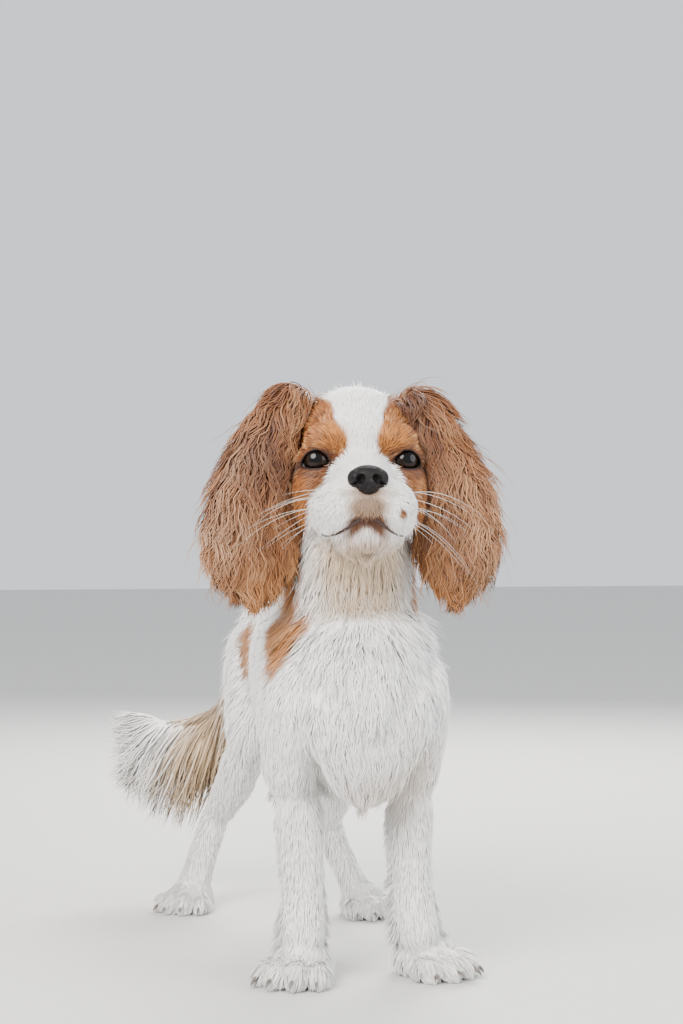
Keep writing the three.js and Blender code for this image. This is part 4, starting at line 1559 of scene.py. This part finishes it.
# Zones of the ears' locks: height, place and spread across the ear, and length.
EAR_ZONES = [(52, 38, 20, 26), (34, 50, 24, 38), (6, 62, 32, 48), (-28, 74, 38, 48), (-62, 75, 38, 40), (-92, 74, 34, 26)]
EAR_SPACING = 1.85
EAR_RINGS = 6


def ear_groom(name, side):
    """The lie of the long hair on one ear, which fans out over its edges and then hangs."""
    spread = EAR_SPREAD[name]
    groom = Groom()
    for (z0, x0, _, l0), (z1, x1, radius, l1) in zip(EAR_ZONES, EAR_ZONES[1:]):
        for edge in (-1, 0, 1):
            fan = edge * 0.3 + (1.0 if z0 > 40 else 0.55 if z0 > 20 else 0.1)
            sweep = edge * (0.22 if z1 > -70 else 0.06)
            start = (side * (x0 + edge * 18) * spread, 28, z0)
            end = (side * (x1 + edge * 26) * spread, 18, z1)
            flows = [(side * fan, -0.05, -1), (side * sweep, -0.02, -1)]
            rise = 0.34 if edge > 0 or z0 > 20 else 0.2
            piece = f"coat_ear_{name}"
            groom.add(piece, EARS, start, end, radius, flows, (l0, l1), rise, 3.3, 0.55, 1.35, False)
    return groom.close()


class EarsOperator(bpy.types.Operator):
    """Grows the long wavy locks of the ears"""

    bl_idname = "spaniel.ears"
    bl_label = "Ear locks"

    def execute(self, context):
        surface = Surface(bpy.data.objects["skin"].data)
        material = coat_material("ear coat", 0.2)
        for index, (name, side) in enumerate(SIDES.items()):
            rng = np.random.default_rng(40 + index)
            points, corners, normals = skin_arrays(bpy.data.meshes[f"leather_{name}_core"])
            roots, root_normals = scatter(points, corners, normals, EAR_SPACING * MM, rng)
            spots, skin_normals = surface.nearest(roots)
            clear = ((roots - spots) * skin_normals).sum(1) > -EAR_BURIED
            roots, root_normals = roots[clear], root_normals[clear]
            grow_piece(
                f"coat_ear_{name}", surface, ear_groom(name, side), roots, root_normals, ear_markings(roots),
                EAR_RINGS, 0.05, EAR_TUFT, material, "coat_chestnut", rng,
            )
        return {"FINISHED"}


class WhiskersOperator(bpy.types.Operator):
    """Grows the whiskers on the upper lips"""

    bl_idname = "spaniel.whiskers"
    bl_label = "Whiskers"

    def execute(self, context):
        longest = context.scene.spaniel_sizes.whisker
        rng = np.random.default_rng(9)
        surface = Surface(bpy.data.objects["skin"].data)
        starts, courses, lengths = [], [], []
        for side in (RIGHT, LEFT):
            for row in range(3):
                for column in range(4):
                    starts.append((side * (14 + column * 5), -44 + column * 4.5, -30 - row * 6 - column * 1.2))
                    courses.append((side * (0.9 + 0.1 * column), -0.15 + 0.22 * column, 0.12 - 0.22 * row))
                    lengths.append(longest * rng.uniform(0.45, 1.0))
        count = len(starts)
        starts = mapped(HEAD, np.array(starts) + rng.normal(scale=0.7, size=(count, 3)))
        courses = unit(np.array(courses)) @ (np.array(HEAD)[:3, :3] / MM).T
        courses = unit(courses + rng.normal(scale=0.12, size=courses.shape))[:, None]
        roots, normals = surface.nearest(starts)
        t = np.linspace(0, 1, WHISKER_STEPS)[None, :, None]
        size = np.array(lengths)[:, None, None]
        droop = (np.array((0, 0.15, -0.42)) * rng.uniform(0.5, 1.2, (count, 1)))[:, None]
        lines = roots[:, None] + courses * size * t + droop * size * t**2
        widths, even = np.full(count, WHISKER_WIDTH), np.full(count, 0.9)
        homes = rng.random((count, 2)) * 0.98
        piece = build_tufts("whiskers", lines, widths, normals, np.zeros((count, 4)), even, even, homes, *WHISKER)
        material = plain_material("whiskers", (0.82, 0.80, 0.76), (0.62, 0.58, 0.52), 40, 0.4, 0)
        finish_piece(piece, "whiskers", material, "coat_white")
        return {"FINISHED"}


class SpanielPanel(bpy.types.Panel):
    """Lists the pieces of the dog"""

    bl_idname = "VIEW3D_PT_spaniel"
    bl_label = "Spaniel"
    bl_space_type = "VIEW_3D"
    bl_region_type = "UI"
    bl_category = "Spaniel"

    def draw(self, context):
        for operator in OPERATORS:
            self.layout.operator(operator.bl_idname)
        for group in (context.scene.spaniel_sizes, context.scene.spaniel_colors, context.scene.spaniel_stage):
            box = self.layout.box()
            for name in group.__annotations__:
                box.prop(group, name)


GROUPS = {"spaniel_sizes": SpanielSizes, "spaniel_colors": SpanielColors, "spaniel_stage": SpanielStage}
OPERATORS = [
    StageOperator,
    SkinOperator,
    EyesOperator,
    NoseOperator,
    LipsOperator,
    ClawsOperator,
    CollarOperator,
    CoatOperator,
    EarsOperator,
    WhiskersOperator,
]


def register():
    for made in (*GROUPS.values(), *OPERATORS, SpanielPanel):
        bpy.utils.register_class(made)
    for name, group in GROUPS.items():
        setattr(bpy.types.Scene, name, bpy.props.PointerProperty(type=group))


def unregister():
    for name in GROUPS:
        delattr(bpy.types.Scene, name)
    for made in (*GROUPS.values(), *OPERATORS, SpanielPanel):
        bpy.utils.unregister_class(made)


def main():
    register()
    for operator in OPERATORS:
        group, name = operator.bl_idname.split(".")
        getattr(getattr(bpy.ops, group), name)()


if __name__ == "__main__":
    main()
